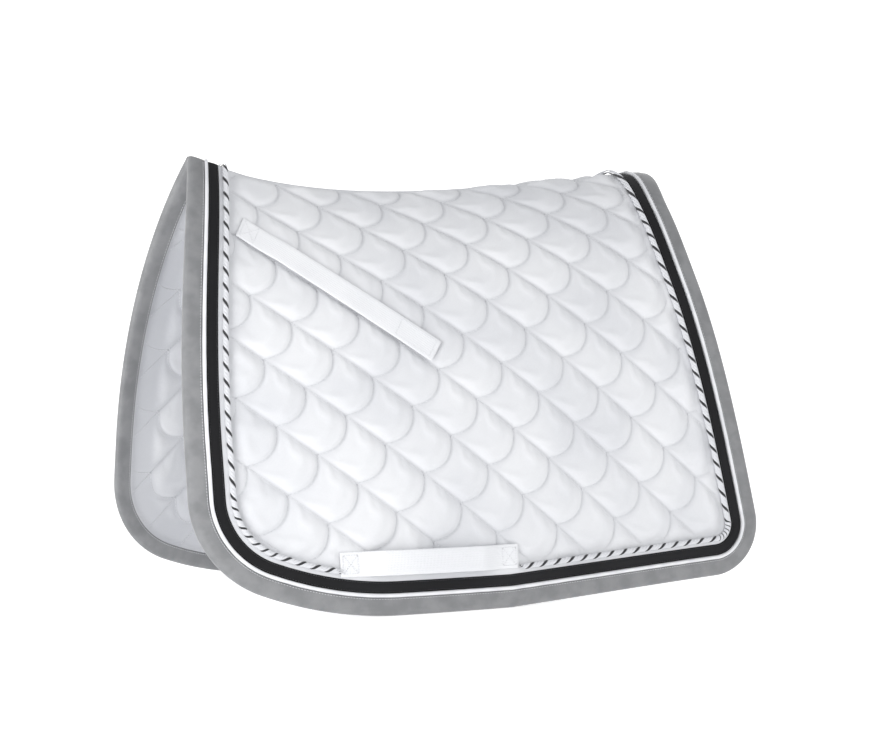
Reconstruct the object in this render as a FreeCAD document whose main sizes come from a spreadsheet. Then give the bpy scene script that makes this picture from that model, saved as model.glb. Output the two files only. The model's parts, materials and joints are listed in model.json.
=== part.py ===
"""Quilted saddle pad: two contoured halves joined along the spine, with bound and trimmed edges.

Units are millimetres.  X runs along the spine from the withers end (-X) to the rear (+X), the near
flap hangs on the -Y side and +Z is up.  The origin is on the floor under the middle of the pad, which
stands astride on the bottom edges of its two flaps.

The quilt is a curved sheet.  A place on it is given by x, by s, the distance down from the spine seam
along the middle of the sheet, and by n, the distance outwards from the middle of the sheet.
"""
import math
import os

import FreeCAD
import Part

Vector = FreeCAD.Vector

SIZES = [
    # overall outline, seen from the side
    ("half_length", 331.0, "foremost or rearmost point of the outline from the middle"),
    ("drop", 480.0, "height of the spine seam at the withers"),
    ("front_arc_radius", 1092.0, "sweep of the front edge"),
    ("front_point_height", 170.0, "height of the foremost point"),
    ("front_corner_radius", 105.0, "lower front corner"),
    ("front_corner_lift", 19.0, "lower front corner above the floor"),
    ("front_bottom_radius", 400.0, "sweep of the bottom edge behind that corner"),
    ("rear_corner_radius", 58.0, "lower rear corner"),
    ("rear_corner_lift", 17.0, "lower rear corner above the floor"),
    ("flat_end", "=half_length - 321", "x where the level bottom edge ends"),
    ("rear_waist", "=half_length - 62", "x of the rear edge at its waist"),
    ("rear_waist_height", 428.0, "height of the waist of the rear edge"),
    ("rear_arc_radius", 400.0, "sweep of the rear edge below the waist"),
    ("rear_flare_radius", 68.0, "sweep of the rear edge above the waist"),
    # spine line and fall of the halves
    ("spine_front", "=44 - half_length", "x of the withers end of the spine"),
    ("spine_rear", "=half_length - 75", "x of the rearmost station of the spine"),
    ("dip_fore", 31.0, "fall of the spine a third of the way back"),
    ("dip_aft", 23.5, "fall of the spine two thirds of the way back"),
    ("dip_rear", 7.6, "fall of the spine at the rearmost station"),
    ("slope_front", 50.0, "slope beside the seam at the withers, degrees"),
    ("slope_middle", 22.0, "slope beside the seam in the middle, degrees"),
    ("slope_rear", 4.0, "slope beside the seam at the rear, degrees"),
    ("slope_hang", 90.0, "slope that the flaps tend to, degrees"),
    ("fall_front", 290.0, "distance over which the slope settles at the withers"),
    ("fall_middle", 185.0, "the same in the middle"),
    ("fall_rear", 135.0, "the same at the rear"),
    # layers of the quilt
    ("wadding_thickness", 7.0, "wadding between the two cloths"),
    ("cover_thickness", 1.2, "outer cloth"),
    ("lining_thickness", 1.2, "inner cloth"),
    ("layer_gap", 0.02, "gap between the wadding and each cloth"),
    # edge trims, from the edge inwards
    ("binding_width", 19.0, "bound edge"),
    ("binding_cloth", 0.9, "cloth of the binding"),
    ("piping_width", 4.0, "piping beside the binding"),
    ("piping_height", 3.5, "piping above the cover"),
    ("ribbon_width", 12.5, "flat ribbon"),
    ("ribbon_height", 0.9, "ribbon above the cover"),
    ("cord_gap", 3.5, "plain cloth between ribbon and cord"),
    ("cord_width", 6.5, "twisted cord"),
    ("seam_tape_width", 24.0, "tape over the spine seam, inside"),
    ("seam_tape_height", 0.8, "thickness of that tape"),
    # fold lines where the flaps swing
    ("fold_depth", 58.0, "fold line below the withers end of the seam"),
    ("fold_out", 75.0, "swing outwards, degrees"),
    ("fold_in", 20.0, "swing inwards, degrees"),
    ("fold_clearance", 0.3, "gap on each side of the fold axis"),
    # girth keeper
    ("keeper_front", "=147 - half_length", "x of the keeper's front end"),
    ("keeper_lift", 2.5, "keeper above the line of the cord"),
    ("keeper_length", 202.0, "keeper from end to end"),
    ("keeper_width", 26.0, "webbing width"),
    ("keeper_tab", 22.0, "sewn length at each end"),
    ("keeper_leg", 3.0, "rising leg beside each sewn end"),
    ("keeper_slot", 10.0, "free height under the keeper"),
    ("webbing_thickness", 1.6, "webbing of the keeper and the billet strap"),
    ("tack_height", 0.7, "stitching above the webbing"),
    # billet strap
    ("strap_set_back", 35.0, "strap hinge behind the trims of the front edge"),
    ("strap_below_fold", 33.0, "strap hinge below the fold line"),
    ("strap_length", 208.0, "moving length of the strap"),
    ("strap_angle", 35.0, "fall of the strap towards the rear, degrees"),
    ("strap_width", 26.0, "strap width"),
    ("strap_anchor", 22.0, "sewn length in front of the hinge"),
    ("strap_gap", 2.2, "gap between the sewn end and the moving length"),
    ("patch_length", 46.0, "hook and loop patches"),
    ("patch_margin", 2.0, "strap edge beyond the patches"),
    ("patch_thickness", 1.0, "each patch"),
    ("patch_clearance", 0.3, "gap between the two patches"),
]

STATIONS = 9      # cross-sections that carry the surface
SECTION_POINTS = 16
SECTION_STEPS = 40      # steps of each slope sum
FLARE_TURN = 75.0      # degrees that the rear edge turns above its waist, past the spine
FOLD_MARGIN = 1.5      # degrees by which each side of the fold wedge is wider than the swing


def make_sheet(doc):
    """Put every driving dimension in a spreadsheet cell with an alias."""
    sheet = doc.addObject("Spreadsheet::Sheet", "Sizes")
    for row, (alias, value, note) in enumerate(SIZES, start=1):
        sheet.set("A%d" % row, alias)
        sheet.set("B%d" % row, str(value))
        sheet.set("C%d" % row, note)
        sheet.setAlias("B%d" % row, alias)
    doc.recompute()
    return sheet


doc = FreeCAD.newDocument("SaddlePad")
size = make_sheet(doc)


# ---------------------------------------------------------------- surface of the quilt

def through_three(front, middle, rear, t):
    """Parabola through three values at t = 0, 1/2 and 1."""
    return (front * (1 - t) * (1 - 2 * t) + 4 * middle * t * (1 - t) + rear * t * (2 * t - 1))


def spine_fall(t):
    """Fall of the spine seam below its withers end: a cubic through four values."""
    falls = (0.0, size.dip_fore, size.dip_aft, size.dip_rear)
    total = 0.0
    for i, fall in enumerate(falls):
        weight = 1.0
        for j in range(4):
            if j != i:
                weight *= (3 * t - j) / (i - j)
        total += weight * fall
    return total


def place(x, s, n):
    """Point of the near half at x, s down from the seam and n outwards from the mid sheet."""
    t = (x - size.spine_front) / (size.spine_rear - size.spine_front)
    start = through_three(size.slope_front, size.slope_middle, size.slope_rear, t)
    settle = through_three(size.fall_front, size.fall_middle, size.fall_rear, t)
    hang = size.slope_hang

    def slope(at):
        return math.radians(hang - (hang - start) * math.exp(-max(at, 0.0) / settle))

    out = down = 0.0
    step = s / SECTION_STEPS
    for k in range(SECTION_STEPS):
        middle = (k + 0.5) * step
        out += math.cos(slope(middle)) * step
        down += math.sin(slope(middle)) * step
    angle = slope(s)
    return Vector(x, -(out + n * math.sin(angle)),
                  size.drop - spine_fall(t) - down + n * math.cos(angle))


def curve(points):
    spline = Part.BSplineCurve()
    spline.interpolate(points)
    return spline.toShape()


def section(x, low, high, s_from, s_to):
    """Closed cross-section of one layer, between two distances from the mid sheet."""
    steps = [s_from + (s_to - s_from) * k / (SECTION_POINTS - 1) for k in range(SECTION_POINTS)]
    outer = [place(x, s, high) for s in steps]
    inner = [place(x, s, low) for s in steps]
    edges = [curve(outer), Part.makeLine(outer[-1], inner[-1]),
             curve(inner), Part.makeLine(inner[0], outer[0])]
    return Part.Wire(Part.__sortEdges__(edges))


def layer(name, low, high, s_from=-24.0, s_to=600.0):
    """Loft one layer of the near half over its whole length and more."""
    reach = size.half_length + 12.0
    sections = []
    for k in range(STATIONS):
        x = -reach + 2 * reach * k / (STATIONS - 1)
        wire = doc.addObject("Part::Feature", "%s_section_%d" % (name, k))
        wire.Shape = section(x, low, high, s_from, s_to)
        sections.append(wire)
    loft = doc.addObject("Part::Loft", name)
    loft.Sections = sections
    loft.Solid = True
    loft.Ruled = False
    return loft


# ---------------------------------------------------------------- outline seen from the side

def on_front(z):
    """Where the front edge is at a height, above its foremost point."""
    radius = size.front_arc_radius
    return -size.half_length + radius - math.sqrt(
        radius ** 2 - (z - size.front_point_height) ** 2)


def outline_wire():
    """Edge of the pad in the XZ plane, run on well above the spine."""
    top = size.drop + 120.0
    half = size.half_length
    point_height = size.front_point_height

    def flat(x, z):
        return Vector(x, 0, z)

    corner = size.front_corner_radius
    lift = size.front_corner_lift
    bottom = size.front_bottom_radius
    corner_centre = (-half + corner, corner + lift)
    # the bottom arc touches the level edge where it starts and holds the corner arc inside it
    level_start = corner_centre[0] + math.sqrt(lift * (2 * (bottom - corner) - lift))
    turn = math.atan2(bottom - corner_centre[1], level_start - corner_centre[0])
    points_front = (flat(on_front(top), top),
                    flat(on_front(0.5 * (top + point_height)), 0.5 * (top + point_height)),
                    flat(-half, point_height))

    def on_arc(centre, radius, angle):
        """Point of an arc at an angle below level, in front of its centre."""
        return flat(centre[0] - radius * math.cos(angle), centre[1] - radius * math.sin(angle))

    bottom_centre = (level_start, bottom)
    corner_straight = on_arc(corner_centre, corner, 0.0)
    corner_end = on_arc(corner_centre, corner, turn)
    corner_middle = on_arc(corner_centre, corner, 0.5 * turn)
    bottom_middle = on_arc(bottom_centre, bottom, 0.5 * (turn + 0.5 * math.pi))
    bottom_end = flat(level_start, 0)

    radius = size.rear_corner_radius
    centre = (half - radius, radius + size.rear_corner_lift)
    waist = (size.rear_waist + size.rear_arc_radius, size.rear_waist_height)
    # the straight part of the rear edge touches the waist arc and the corner arc
    apart = (waist[0] - centre[0], waist[1] - centre[1])
    lean = math.atan2(apart[1], apart[0]) - math.acos(
        (size.rear_arc_radius + radius) / math.hypot(*apart))
    # the bottom edge rises from the level part and touches the corner arc
    run = (centre[0] - size.flat_end, centre[1])
    rise = math.atan2(run[1], run[0]) - math.asin(radius / math.hypot(*run))

    def on_corner(angle):
        return flat(centre[0] + radius * math.cos(angle), centre[1] + radius * math.sin(angle))

    def on_waist(angle):
        return flat(waist[0] - size.rear_arc_radius * math.cos(angle),
                    waist[1] - size.rear_arc_radius * math.sin(angle))

    low = -math.pi / 2 + rise
    flat_end = flat(size.flat_end, 0)
    waist_top = on_waist(0.0)
    flare = size.rear_flare_radius

    def on_flare(angle):
        return flat(size.rear_waist + flare * (1 - math.cos(angle)),
                    size.rear_waist_height + flare * math.sin(angle))

    flare_end = on_flare(math.radians(FLARE_TURN))
    rear_top = flat(flare_end.x, top)
    edges = [
        Part.Arc(*points_front).toShape(),
        Part.makeLine(points_front[2], corner_straight),
        Part.Arc(corner_straight, corner_middle, corner_end).toShape(),
        Part.Arc(corner_end, bottom_middle, bottom_end).toShape(),
        Part.makeLine(bottom_end, flat_end),
        Part.makeLine(flat_end, on_corner(low)),
        Part.Arc(on_corner(low), on_corner(0.5 * (low + lean)), on_corner(lean)).toShape(),
        Part.makeLine(on_corner(lean), on_waist(lean)),
        Part.Arc(on_waist(lean), on_waist(0.5 * lean), waist_top).toShape(),
        Part.Arc(waist_top, on_flare(math.radians(0.5 * FLARE_TURN)), flare_end).toShape(),
        Part.makeLine(flare_end, rear_top),
        Part.makeLine(rear_top, points_front[0]),
    ]
    return Part.Wire(edges)


def prism(name, base, reach="Sizes.half_length * 1.3"):
    """Run a closed outline out to the near side."""
    solid = doc.addObject("Part::Extrusion", name)
    solid.Base = base
    solid.DirMode = "Custom"
    solid.Dir = Vector(0, -1, 0)
    solid.Solid = True
    solid.setExpression("LengthFwd", reach)
    return solid


def inset_prism(name, outline, distance):
    """Prism of the outline moved inwards by a distance given in terms of the sheet."""
    inset = doc.addObject("Part::Offset2D", name + "_outline")
    inset.Source = outline
    inset.Join = "Intersection"
    inset.setExpression("Value", "-(%s)" % distance)
    return prism(name, inset)


def cut(name, base, tool):
    result = doc.addObject("Part::Cut", name)
    result.Base = base
    result.Tool = tool
    return result


def common(name, *shapes):
    result = doc.addObject("Part::MultiCommon", name)
    result.Shapes = list(shapes)
    return result


def fuse(name, *shapes):
    result = doc.addObject("Part::MultiFuse", name)
    result.Shapes = list(shapes)
    result.Refine = False
    return result


def mirrored(name, source):
    """The same piece on the far side."""
    result = doc.addObject("Part::Mirroring", name)
    result.Source = source
    result.Base = Vector(0, 0, 0)
    result.Normal = Vector(0, 1, 0)
    return result


# ---------------------------------------------------------------- fold line of the flaps

def s_at_depth(x, depth):
    """Distance down from the seam where the mid sheet is at a depth below the withers."""
    low, high = 0.0, 400.0
    for _ in range(40):
        middle = 0.5 * (low + high)
        if size.drop - place(x, middle, 0.0).z < depth:
            low = middle
        else:
            high = middle
    return 0.5 * (low + high)


def fold_axis():
    """Two points of the straight fold line on the near side."""
    ends = []
    for x in (size.spine_front, size.spine_rear):
        ends.append(place(x, s_at_depth(x, size.fold_depth), 0.0))
    return ends


def fold_region(name, side):
    """Everything on one side of the fold: side 1 for the flap, -1 for the bridge.

    The two regions leave a wedge between them outside the sheet, a little wider than the swing
    outwards, and one inside it, a little wider than the swing inwards.
    """
    front, rear = fold_axis()
    along = (rear - front).normalize()
    outward = along.cross(Vector(0, 0, 1)).normalize()
    up = Vector(0, 0, 1)
    slope = math.radians(0.5 * (size.slope_middle + size.slope_hang))
    normal = math.pi / 2 - slope
    margin = math.radians(FOLD_MARGIN)
    outer = normal - side * (math.radians(0.5 * size.fold_out) + margin)
    inner = normal - side * (math.pi - math.radians(0.5 * size.fold_in) - margin)
    middle = -slope if side > 0 else math.pi - slope

    def ray(angle, reach):
        return (outward * math.cos(angle) + up * math.sin(angle)) * reach

    apex = front - along * (2 * size.half_length) + ray(middle, size.fold_clearance)
    angles = (outer, 0.5 * (outer + middle), middle, 0.5 * (inner + middle), inner)
    corners = [apex] + [apex + ray(angle, 4 * size.half_length) for angle in angles]
    face = Part.Face(Part.makePolygon(corners + [apex]))
    region = doc.addObject("Part::Feature", name)
    region.Shape = face.extrude(along * (6 * size.half_length))
    return region


# ---------------------------------------------------------------- shared tools

wadding_high = 0.5 * size.wadding_thickness
cover_high = wadding_high + size.cover_thickness
lining_low = -wadding_high - size.lining_thickness
to_cord = size.binding_width + size.piping_width + size.ribbon_width + size.cord_gap

outline = doc.addObject("Part::Feature", "pad_outline")
outline.Shape = outline_wire()

whole = prism("whole_pad", outline)
quilt_area = inset_prism("quilt_area", outline, "Sizes.binding_cloth")
inside_binding = inset_prism("inside_binding", outline, "Sizes.binding_width")
inside_piping = inset_prism(
    "inside_piping", outline, "Sizes.binding_width + Sizes.piping_width")
inside_ribbon = inset_prism(
    "inside_ribbon", outline, "Sizes.binding_width + Sizes.piping_width + Sizes.ribbon_width")
inside_gap = inset_prism(
    "inside_gap", outline,
    "Sizes.binding_width + Sizes.piping_width + Sizes.ribbon_width + Sizes.cord_gap")
inside_cord = inset_prism(
    "inside_cord", outline,
    "Sizes.binding_width + Sizes.piping_width + Sizes.ribbon_width + Sizes.cord_gap"
    " + Sizes.cord_width")

flap_side = fold_region("flap_side", 1)
bridge_side = fold_region("bridge_side", -1)


def end_box(name, start, length):
    """Box that keeps what lies in front of, or behind, the girth keeper."""
    box = doc.addObject("Part::Box", name)
    box.setExpression("Length", length)
    box.setExpression("Width", "Sizes.half_length * 2")
    box.setExpression("Height", "Sizes.half_length * 4")
    box.setExpression("Placement.Base.x", start)
    box.setExpression("Placement.Base.y", "-Sizes.half_length * 2")
    box.setExpression("Placement.Base.z", "-Sizes.half_length")
    return box


fore_box = end_box("in_front_of_keeper", "-2 * Sizes.half_length",
                   "2 * Sizes.half_length + Sizes.keeper_front")
aft_box = end_box("behind_keeper", "Sizes.keeper_front + Sizes.keeper_length",
                  "2 * Sizes.half_length")

pieces = {}      # node name: document object


def keep(name, shape_object):
    """Record a finished sub-part under its node name."""
    shape_object.Label = name
    pieces[name] = shape_object
    return shape_object


def both_sides(stem, near):
    """A piece of the near side and its twin on the far side."""
    keep("near_" + stem, near)
    keep("far_" + stem, mirrored("far_" + stem, near))


def across_spine(name, near):
    """One piece that runs over the spine from side to side."""
    other = mirrored(name + "_far", near)
    return keep(name, fuse(name, near, other))


# ---------------------------------------------------------------- quilted halves

def build_quilt():
    """Outer cloth, wadding and lining: the top of each half and its flap."""
    layers = {
        "cover": layer("cover_layer", wadding_high, cover_high),
        "wadding": layer("wadding_layer", -wadding_high + size.layer_gap,
                         wadding_high - size.layer_gap),
        "lining": layer("lining_layer", lining_low, -wadding_high),
    }
    for stem, sheet in layers.items():
        both_sides("top_" + stem, common("near_top_" + stem, sheet, quilt_area, bridge_side))
        both_sides("flap_" + stem, common("near_flap_" + stem, sheet, quilt_area, flap_side))


def build_seam_tape():
    """Tape sewn over the spine seam on the lining side."""
    tape = layer("tape_layer", lining_low - size.seam_tape_height, lining_low,
                 s_to=0.5 * size.seam_tape_width)
    across_spine("spine_seam_tape", common("near_seam_tape", tape, inside_binding))


# ---------------------------------------------------------------- edge trims

def build_binding():
    """Binding folded round the edge of the quilt, in a U that holds it."""
    wrap = layer("binding_layer", lining_low - size.binding_cloth, cover_high + size.binding_cloth)
    filling = layer("quilt_layer", lining_low, cover_high)
    ring = cut("binding_ring", whole, inside_binding)
    edge = common("binding_wrap", wrap, ring)
    core = common("binding_core", filling, quilt_area)
    split_trim("binding", cut("binding_all", edge, core), None, None)


def split_trim(stem, trim, fore, aft):
    """Divide a trim that runs all round into its flap and arch pieces."""
    if fore is None:
        both_sides("flap_" + stem, common("near_flap_" + stem, trim, flap_side))
    else:
        both_sides("front_" + stem, common("near_front_" + stem, trim, flap_side, fore))
        both_sides("rear_" + stem, common("near_rear_" + stem, trim, flap_side, aft))
    across_spine("front_arch_" + stem,
                 common("near_front_arch_" + stem, trim, bridge_side, fore_box))
    across_spine("rear_arch_" + stem,
                 common("near_rear_arch_" + stem, trim, bridge_side, aft_box))


def build_surface_trims():
    """Piping, flat ribbon and twisted cord, sewn to the cover one inside the other."""
    trims = (
        ("piping", size.piping_height, inside_binding, inside_piping, None, None),
        ("ribbon", size.ribbon_height, inside_piping, inside_ribbon, None, None),
        ("cord", size.cord_width, inside_gap, inside_cord, fore_box, aft_box),
    )
    for stem, height, outer, inner, fore, aft in trims:
        band = layer(stem + "_layer", cover_high, cover_high + height)
        ring = cut(stem + "_ring", outer, inner)
        split_trim(stem, common(stem + "_all", band, ring), fore, aft)


# ---------------------------------------------------------------- webbing

def slab(name, corners):
    """Prism of a straight-sided outline given as (x, z) corners."""
    face = doc.addObject("Part::Feature", name + "_outline")
    points = [Vector(x, 0, z) for x, z in corners]
    face.Shape = Part.makePolygon(points + [points[0]])
    return prism(name, face)


def upright(name, x_from, x_to, z_from, z_to):
    return slab(name, [(x_from, z_from), (x_to, z_from), (x_to, z_to), (x_from, z_to)])


def build_keeper():
    """Girth keeper: webbing sewn down at its two ends and standing off the flap between them."""
    web = size.webbing_thickness
    slot = size.keeper_slot
    low = to_cord + size.keeper_lift
    high = low + size.keeper_width
    start = size.keeper_front
    end = start + size.keeper_length
    tab, leg = size.keeper_tab, size.keeper_leg
    flat = layer("keeper_tab_layer", cover_high, cover_high + web)
    rise = layer("keeper_leg_layer", cover_high, cover_high + slot + web)
    band = layer("keeper_band_layer", cover_high + slot, cover_high + slot + web)
    stitch = layer("keeper_tack_layer", cover_high + web, cover_high + web + size.tack_height)
    parts = []
    tacks = []
    edge = 0.15 * size.keeper_width
    for number, (x, way) in enumerate(((start, 1), (end, -1))):
        parts.append(common("keeper_tab_%d" % number, flat, upright(
            "keeper_tab_area_%d" % number, *sorted((x, x + way * tab)), low, high)))
        parts.append(common("keeper_leg_%d" % number, rise, upright(
            "keeper_leg_area_%d" % number, *sorted((x + way * (tab - leg), x + way * tab)),
            low, high)))
        tacks.append(common("keeper_tack_%d" % number, stitch, upright(
            "keeper_tack_area_%d" % number, *sorted((x + way * edge, x + way * (tab - leg - edge))),
            low + edge, high - edge)))
    parts.append(common("keeper_band", band, upright(
        "keeper_band_area", start + tab - leg, end - tab + leg, low, high)))
    both_sides("girth_keeper", fuse("near_girth_keeper", *parts))
    both_sides("keeper_stitching", fuse("near_keeper_stitching", *tacks))


def along_strap(distance, side):
    """Place on the strap seen from the side: along it from the hinge, and across it."""
    angle = math.radians(size.strap_angle)
    hinge_z = size.drop - size.fold_depth - size.strap_below_fold
    hinge_x = on_front(hinge_z) + to_cord + size.cord_width + size.strap_set_back
    x = hinge_x + distance * math.cos(angle) + side * math.sin(angle)
    z = hinge_z - distance * math.sin(angle) + side * math.cos(angle)
    return x, z


def strap_area(name, begin, finish, width):
    """Prism of a length of the strap."""
    half = 0.5 * width
    return slab(name, [along_strap(begin, -half), along_strap(finish, -half),
                       along_strap(finish, half), along_strap(begin, half)])


def build_strap():
    """Billet strap: sewn down in front, held at its free end by hook and loop patches."""
    web = size.webbing_thickness
    patch = size.patch_thickness
    hook_low = cover_high + patch + size.patch_clearance
    strap_low = hook_low + patch
    gap = 0.5 * size.strap_gap
    length = size.strap_length
    patch_width = size.strap_width - 2 * size.patch_margin
    patch_ends = (length - size.patch_margin - size.patch_length, length - size.patch_margin)
    anchor = layer("anchor_layer", cover_high, strap_low + web)
    tack = layer("anchor_tack_layer", strap_low + web, strap_low + web + size.tack_height)
    loop = layer("loop_layer", cover_high, cover_high + patch)
    hook = layer("hook_layer", hook_low, strap_low)
    strap = layer("strap_layer", strap_low, strap_low + web)
    patch_area = strap_area("patch_area", *patch_ends, patch_width)
    both_sides("strap_anchor", common("near_strap_anchor", anchor, strap_area(
        "anchor_area", -gap - size.strap_anchor, -gap, size.strap_width)))
    both_sides("strap_stitching", common("near_strap_stitching", tack, strap_area(
        "anchor_tack_area", -gap - 0.8 * size.strap_anchor, -gap - 0.2 * size.strap_anchor,
        0.7 * size.strap_width)))
    both_sides("loop_patch", common("near_loop_patch", loop, patch_area))
    both_sides("hook_patch", common("near_hook_patch", hook, patch_area))
    both_sides("billet_strap", common("near_billet_strap", strap, strap_area(
        "strap_area", gap, length, size.strap_width)))


# ---------------------------------------------------------------- build, check and write

def check(doc):
    """Stop if anything failed to build or a finished piece is not a sound solid."""
    for item in doc.Objects:
        if "Invalid" in item.State or "Error" in item.State:
            raise RuntimeError("%s failed: %s" % (item.Name, item.State))
    for name, item in pieces.items():
        shape = item.Shape
        if shape.isNull() or not shape.isValid() or not shape.Solids:
            raise RuntimeError("%s is not a sound solid" % name)


def write():
    os.makedirs("parts", exist_ok=True)
    for name, item in pieces.items():
        item.Shape.exportStep("parts/%s.step" % name)
        print("%-24s solids %d volume %.0f" % (name, len(item.Shape.Solids), item.Shape.Volume))


build_quilt()
build_seam_tape()
build_binding()
build_surface_trims()
build_keeper()
build_strap()
doc.recompute()
check(doc)
write()
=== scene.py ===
"""Quilted saddle pad: two quilted halves, edge trims, girth keepers and billet straps.

Shapes are worked out in millimetres and put into the meshes in metres.  X runs along the spine from
the withers end (-X) to the rear (+X), the near flap hangs on the -Y side and +Z is up.  A place on
the quilt is given by x, by s, the distance down from the spine seam along the middle of the sheet,
and by n, the distance outwards from the middle of the sheet.
"""
from __future__ import annotations

import json
import logging
import math
from dataclasses import dataclass, field
from enum import Enum
from typing import Any, Callable, Sequence

import bpy
import numpy as np
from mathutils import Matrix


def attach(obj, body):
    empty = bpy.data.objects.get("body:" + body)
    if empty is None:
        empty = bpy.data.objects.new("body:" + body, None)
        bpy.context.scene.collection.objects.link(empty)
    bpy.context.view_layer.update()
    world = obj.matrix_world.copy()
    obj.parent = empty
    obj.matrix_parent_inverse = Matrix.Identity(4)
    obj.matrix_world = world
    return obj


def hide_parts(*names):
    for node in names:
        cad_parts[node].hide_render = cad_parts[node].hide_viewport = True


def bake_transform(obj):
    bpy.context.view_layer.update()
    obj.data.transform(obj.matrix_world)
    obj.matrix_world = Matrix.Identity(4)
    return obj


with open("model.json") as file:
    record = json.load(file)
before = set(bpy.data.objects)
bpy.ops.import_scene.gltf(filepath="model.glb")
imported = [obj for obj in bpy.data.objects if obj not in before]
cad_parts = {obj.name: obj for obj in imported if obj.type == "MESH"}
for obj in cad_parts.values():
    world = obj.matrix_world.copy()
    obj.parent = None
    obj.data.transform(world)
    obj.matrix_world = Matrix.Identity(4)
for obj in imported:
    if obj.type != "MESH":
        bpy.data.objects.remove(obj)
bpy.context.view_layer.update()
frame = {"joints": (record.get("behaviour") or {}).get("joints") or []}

log = logging.getLogger("saddle_pad")
Array = np.ndarray
MM = 0.001
CLOTH = "cloth"      # attribute with each vertex's place on its cloth, in millimetres


class Side(Enum):
    """The two sides of the pad and the sign of their Y."""

    NEAR = ("near", -1.0)
    FAR = ("far", 1.0)

    @property
    def word(self) -> str:
        """Name of the side, as the CAD nodes have it."""
        return self.value[0]

    @property
    def sign(self) -> float:
        """Sign of Y on this side."""
        return self.value[1]


# ---------------------------------------------------------------- number helpers


def smooth_step(low: float, high: float, value: Array) -> Array:
    """Rise from 0 at low to 1 at high, level at both ends.

    Args:
        low: Value where the rise starts.
        high: Value where it ends.
        value: Numbers to map.

    Returns:
        Numbers from 0 to 1.
    """
    t = np.clip((value - low) / (high - low), 0.0, 1.0)
    return t * t * (3.0 - 2.0 * t)


def unit(vectors: Array) -> Array:
    """Vectors of length 1 along the last axis."""
    return vectors / np.maximum(np.linalg.norm(vectors, axis=-1, keepdims=True), 1e-9)


# ---------------------------------------------------------------- surface of the pad


@dataclass(frozen=True)
class PadSurface:
    """Middle of the quilted sheet.

    Beside the seam each section starts at its own slope and turns towards straight down as
    hang - (hang - start) * exp(-s / settle); the place is the running sum of that slope.
    """

    drop: float = 480.0
    spine_front: float = -287.0
    spine_rear: float = 256.0
    falls: tuple[float, ...] = (0.0, 31.0, 23.5, 7.6)
    slopes: tuple[float, ...] = (50.0, 22.0, 4.0)
    settles: tuple[float, ...] = (290.0, 185.0, 135.0)
    hang: float = 90.0
    steps: int = 40

    def share(self, x: Array) -> Array:
        """Distance along the spine as a share of its length."""
        return (x - self.spine_front) / (self.spine_rear - self.spine_front)

    @staticmethod
    def through_three(values: Sequence[float], t: Array) -> Array:
        """Parabola through three values at t = 0, 1/2 and 1."""
        a, b, c = values
        return a * (1 - t) * (1 - 2 * t) + 4 * b * t * (1 - t) + c * t * (2 * t - 1)

    def spine_fall(self, x: Array) -> Array:
        """Fall of the seam below its withers end: the cubic through four values."""
        t = self.share(x)
        total = np.zeros_like(t)
        for i, fall in enumerate(self.falls):
            weight = np.ones_like(t)
            for j in range(4):
                if j != i:
                    weight = weight * (3 * t - j) / (i - j)
            total = total + weight * fall
        return total

    def slope(self, x: Array, s: Array) -> Array:
        """Slope of the section at x, s down from the seam, in radians."""
        t = self.share(x)
        start = self.through_three(self.slopes, t)
        settle = self.through_three(self.settles, t)
        return np.radians(self.hang - (self.hang - start) * np.exp(-np.maximum(s, 0.0) / settle))

    def run(self, x: Array, s: Array) -> tuple[Array, Array]:
        """Distance out and down of the middle of the sheet.

        Args:
            x: Place along the spine.
            s: Distance down from the seam, of the same shape.

        Returns:
            The two sums of the cosine and sine of the slope along s.
        """
        share = (np.arange(self.steps) + 0.5) / self.steps
        angle = self.slope(x[..., None], s[..., None] * share)
        return np.cos(angle).mean(-1) * s, np.sin(angle).mean(-1) * s

    def place(self, side: Side, x: Array, s: Array, n: Array) -> Array:
        """Points of one side of the pad.

        Args:
            side: Side of the pad.
            x: Place along the spine.
            s: Distance down from the seam.
            n: Distance outwards from the middle of the sheet.

        Returns:
            Points, with x, y and z on the last axis.
        """
        x, s, n = np.broadcast_arrays(*(np.asarray(a, float) for a in (x, s, n)))
        out, down = self.run(x, s)
        angle = self.slope(x, s)
        y = side.sign * (out + n * np.sin(angle))
        z = self.drop - self.spine_fall(x) - down + n * np.cos(angle)
        return np.stack([x, y, z], -1)

    def s_at(self, x: Array, z: Array) -> Array:
        """Distance down from the seam at a height, by Newton's steps from below.

        Args:
            x: Place along the spine.
            z: Height of the middle of the sheet.

        Returns:
            s, which is 0 at and above the seam.
        """
        x, z = np.broadcast_arrays(np.asarray(x, float), np.asarray(z, float))
        target = self.drop - self.spine_fall(x) - z
        s = np.full(x.shape, 620.0)
        for _ in range(14):
            down = self.run(x, s)[1]
            s = np.maximum(s - (down - target) / np.maximum(np.sin(self.slope(x, s)), 0.05), 0.0)
        return np.where(target <= 0.0, 0.0, s)


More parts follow.
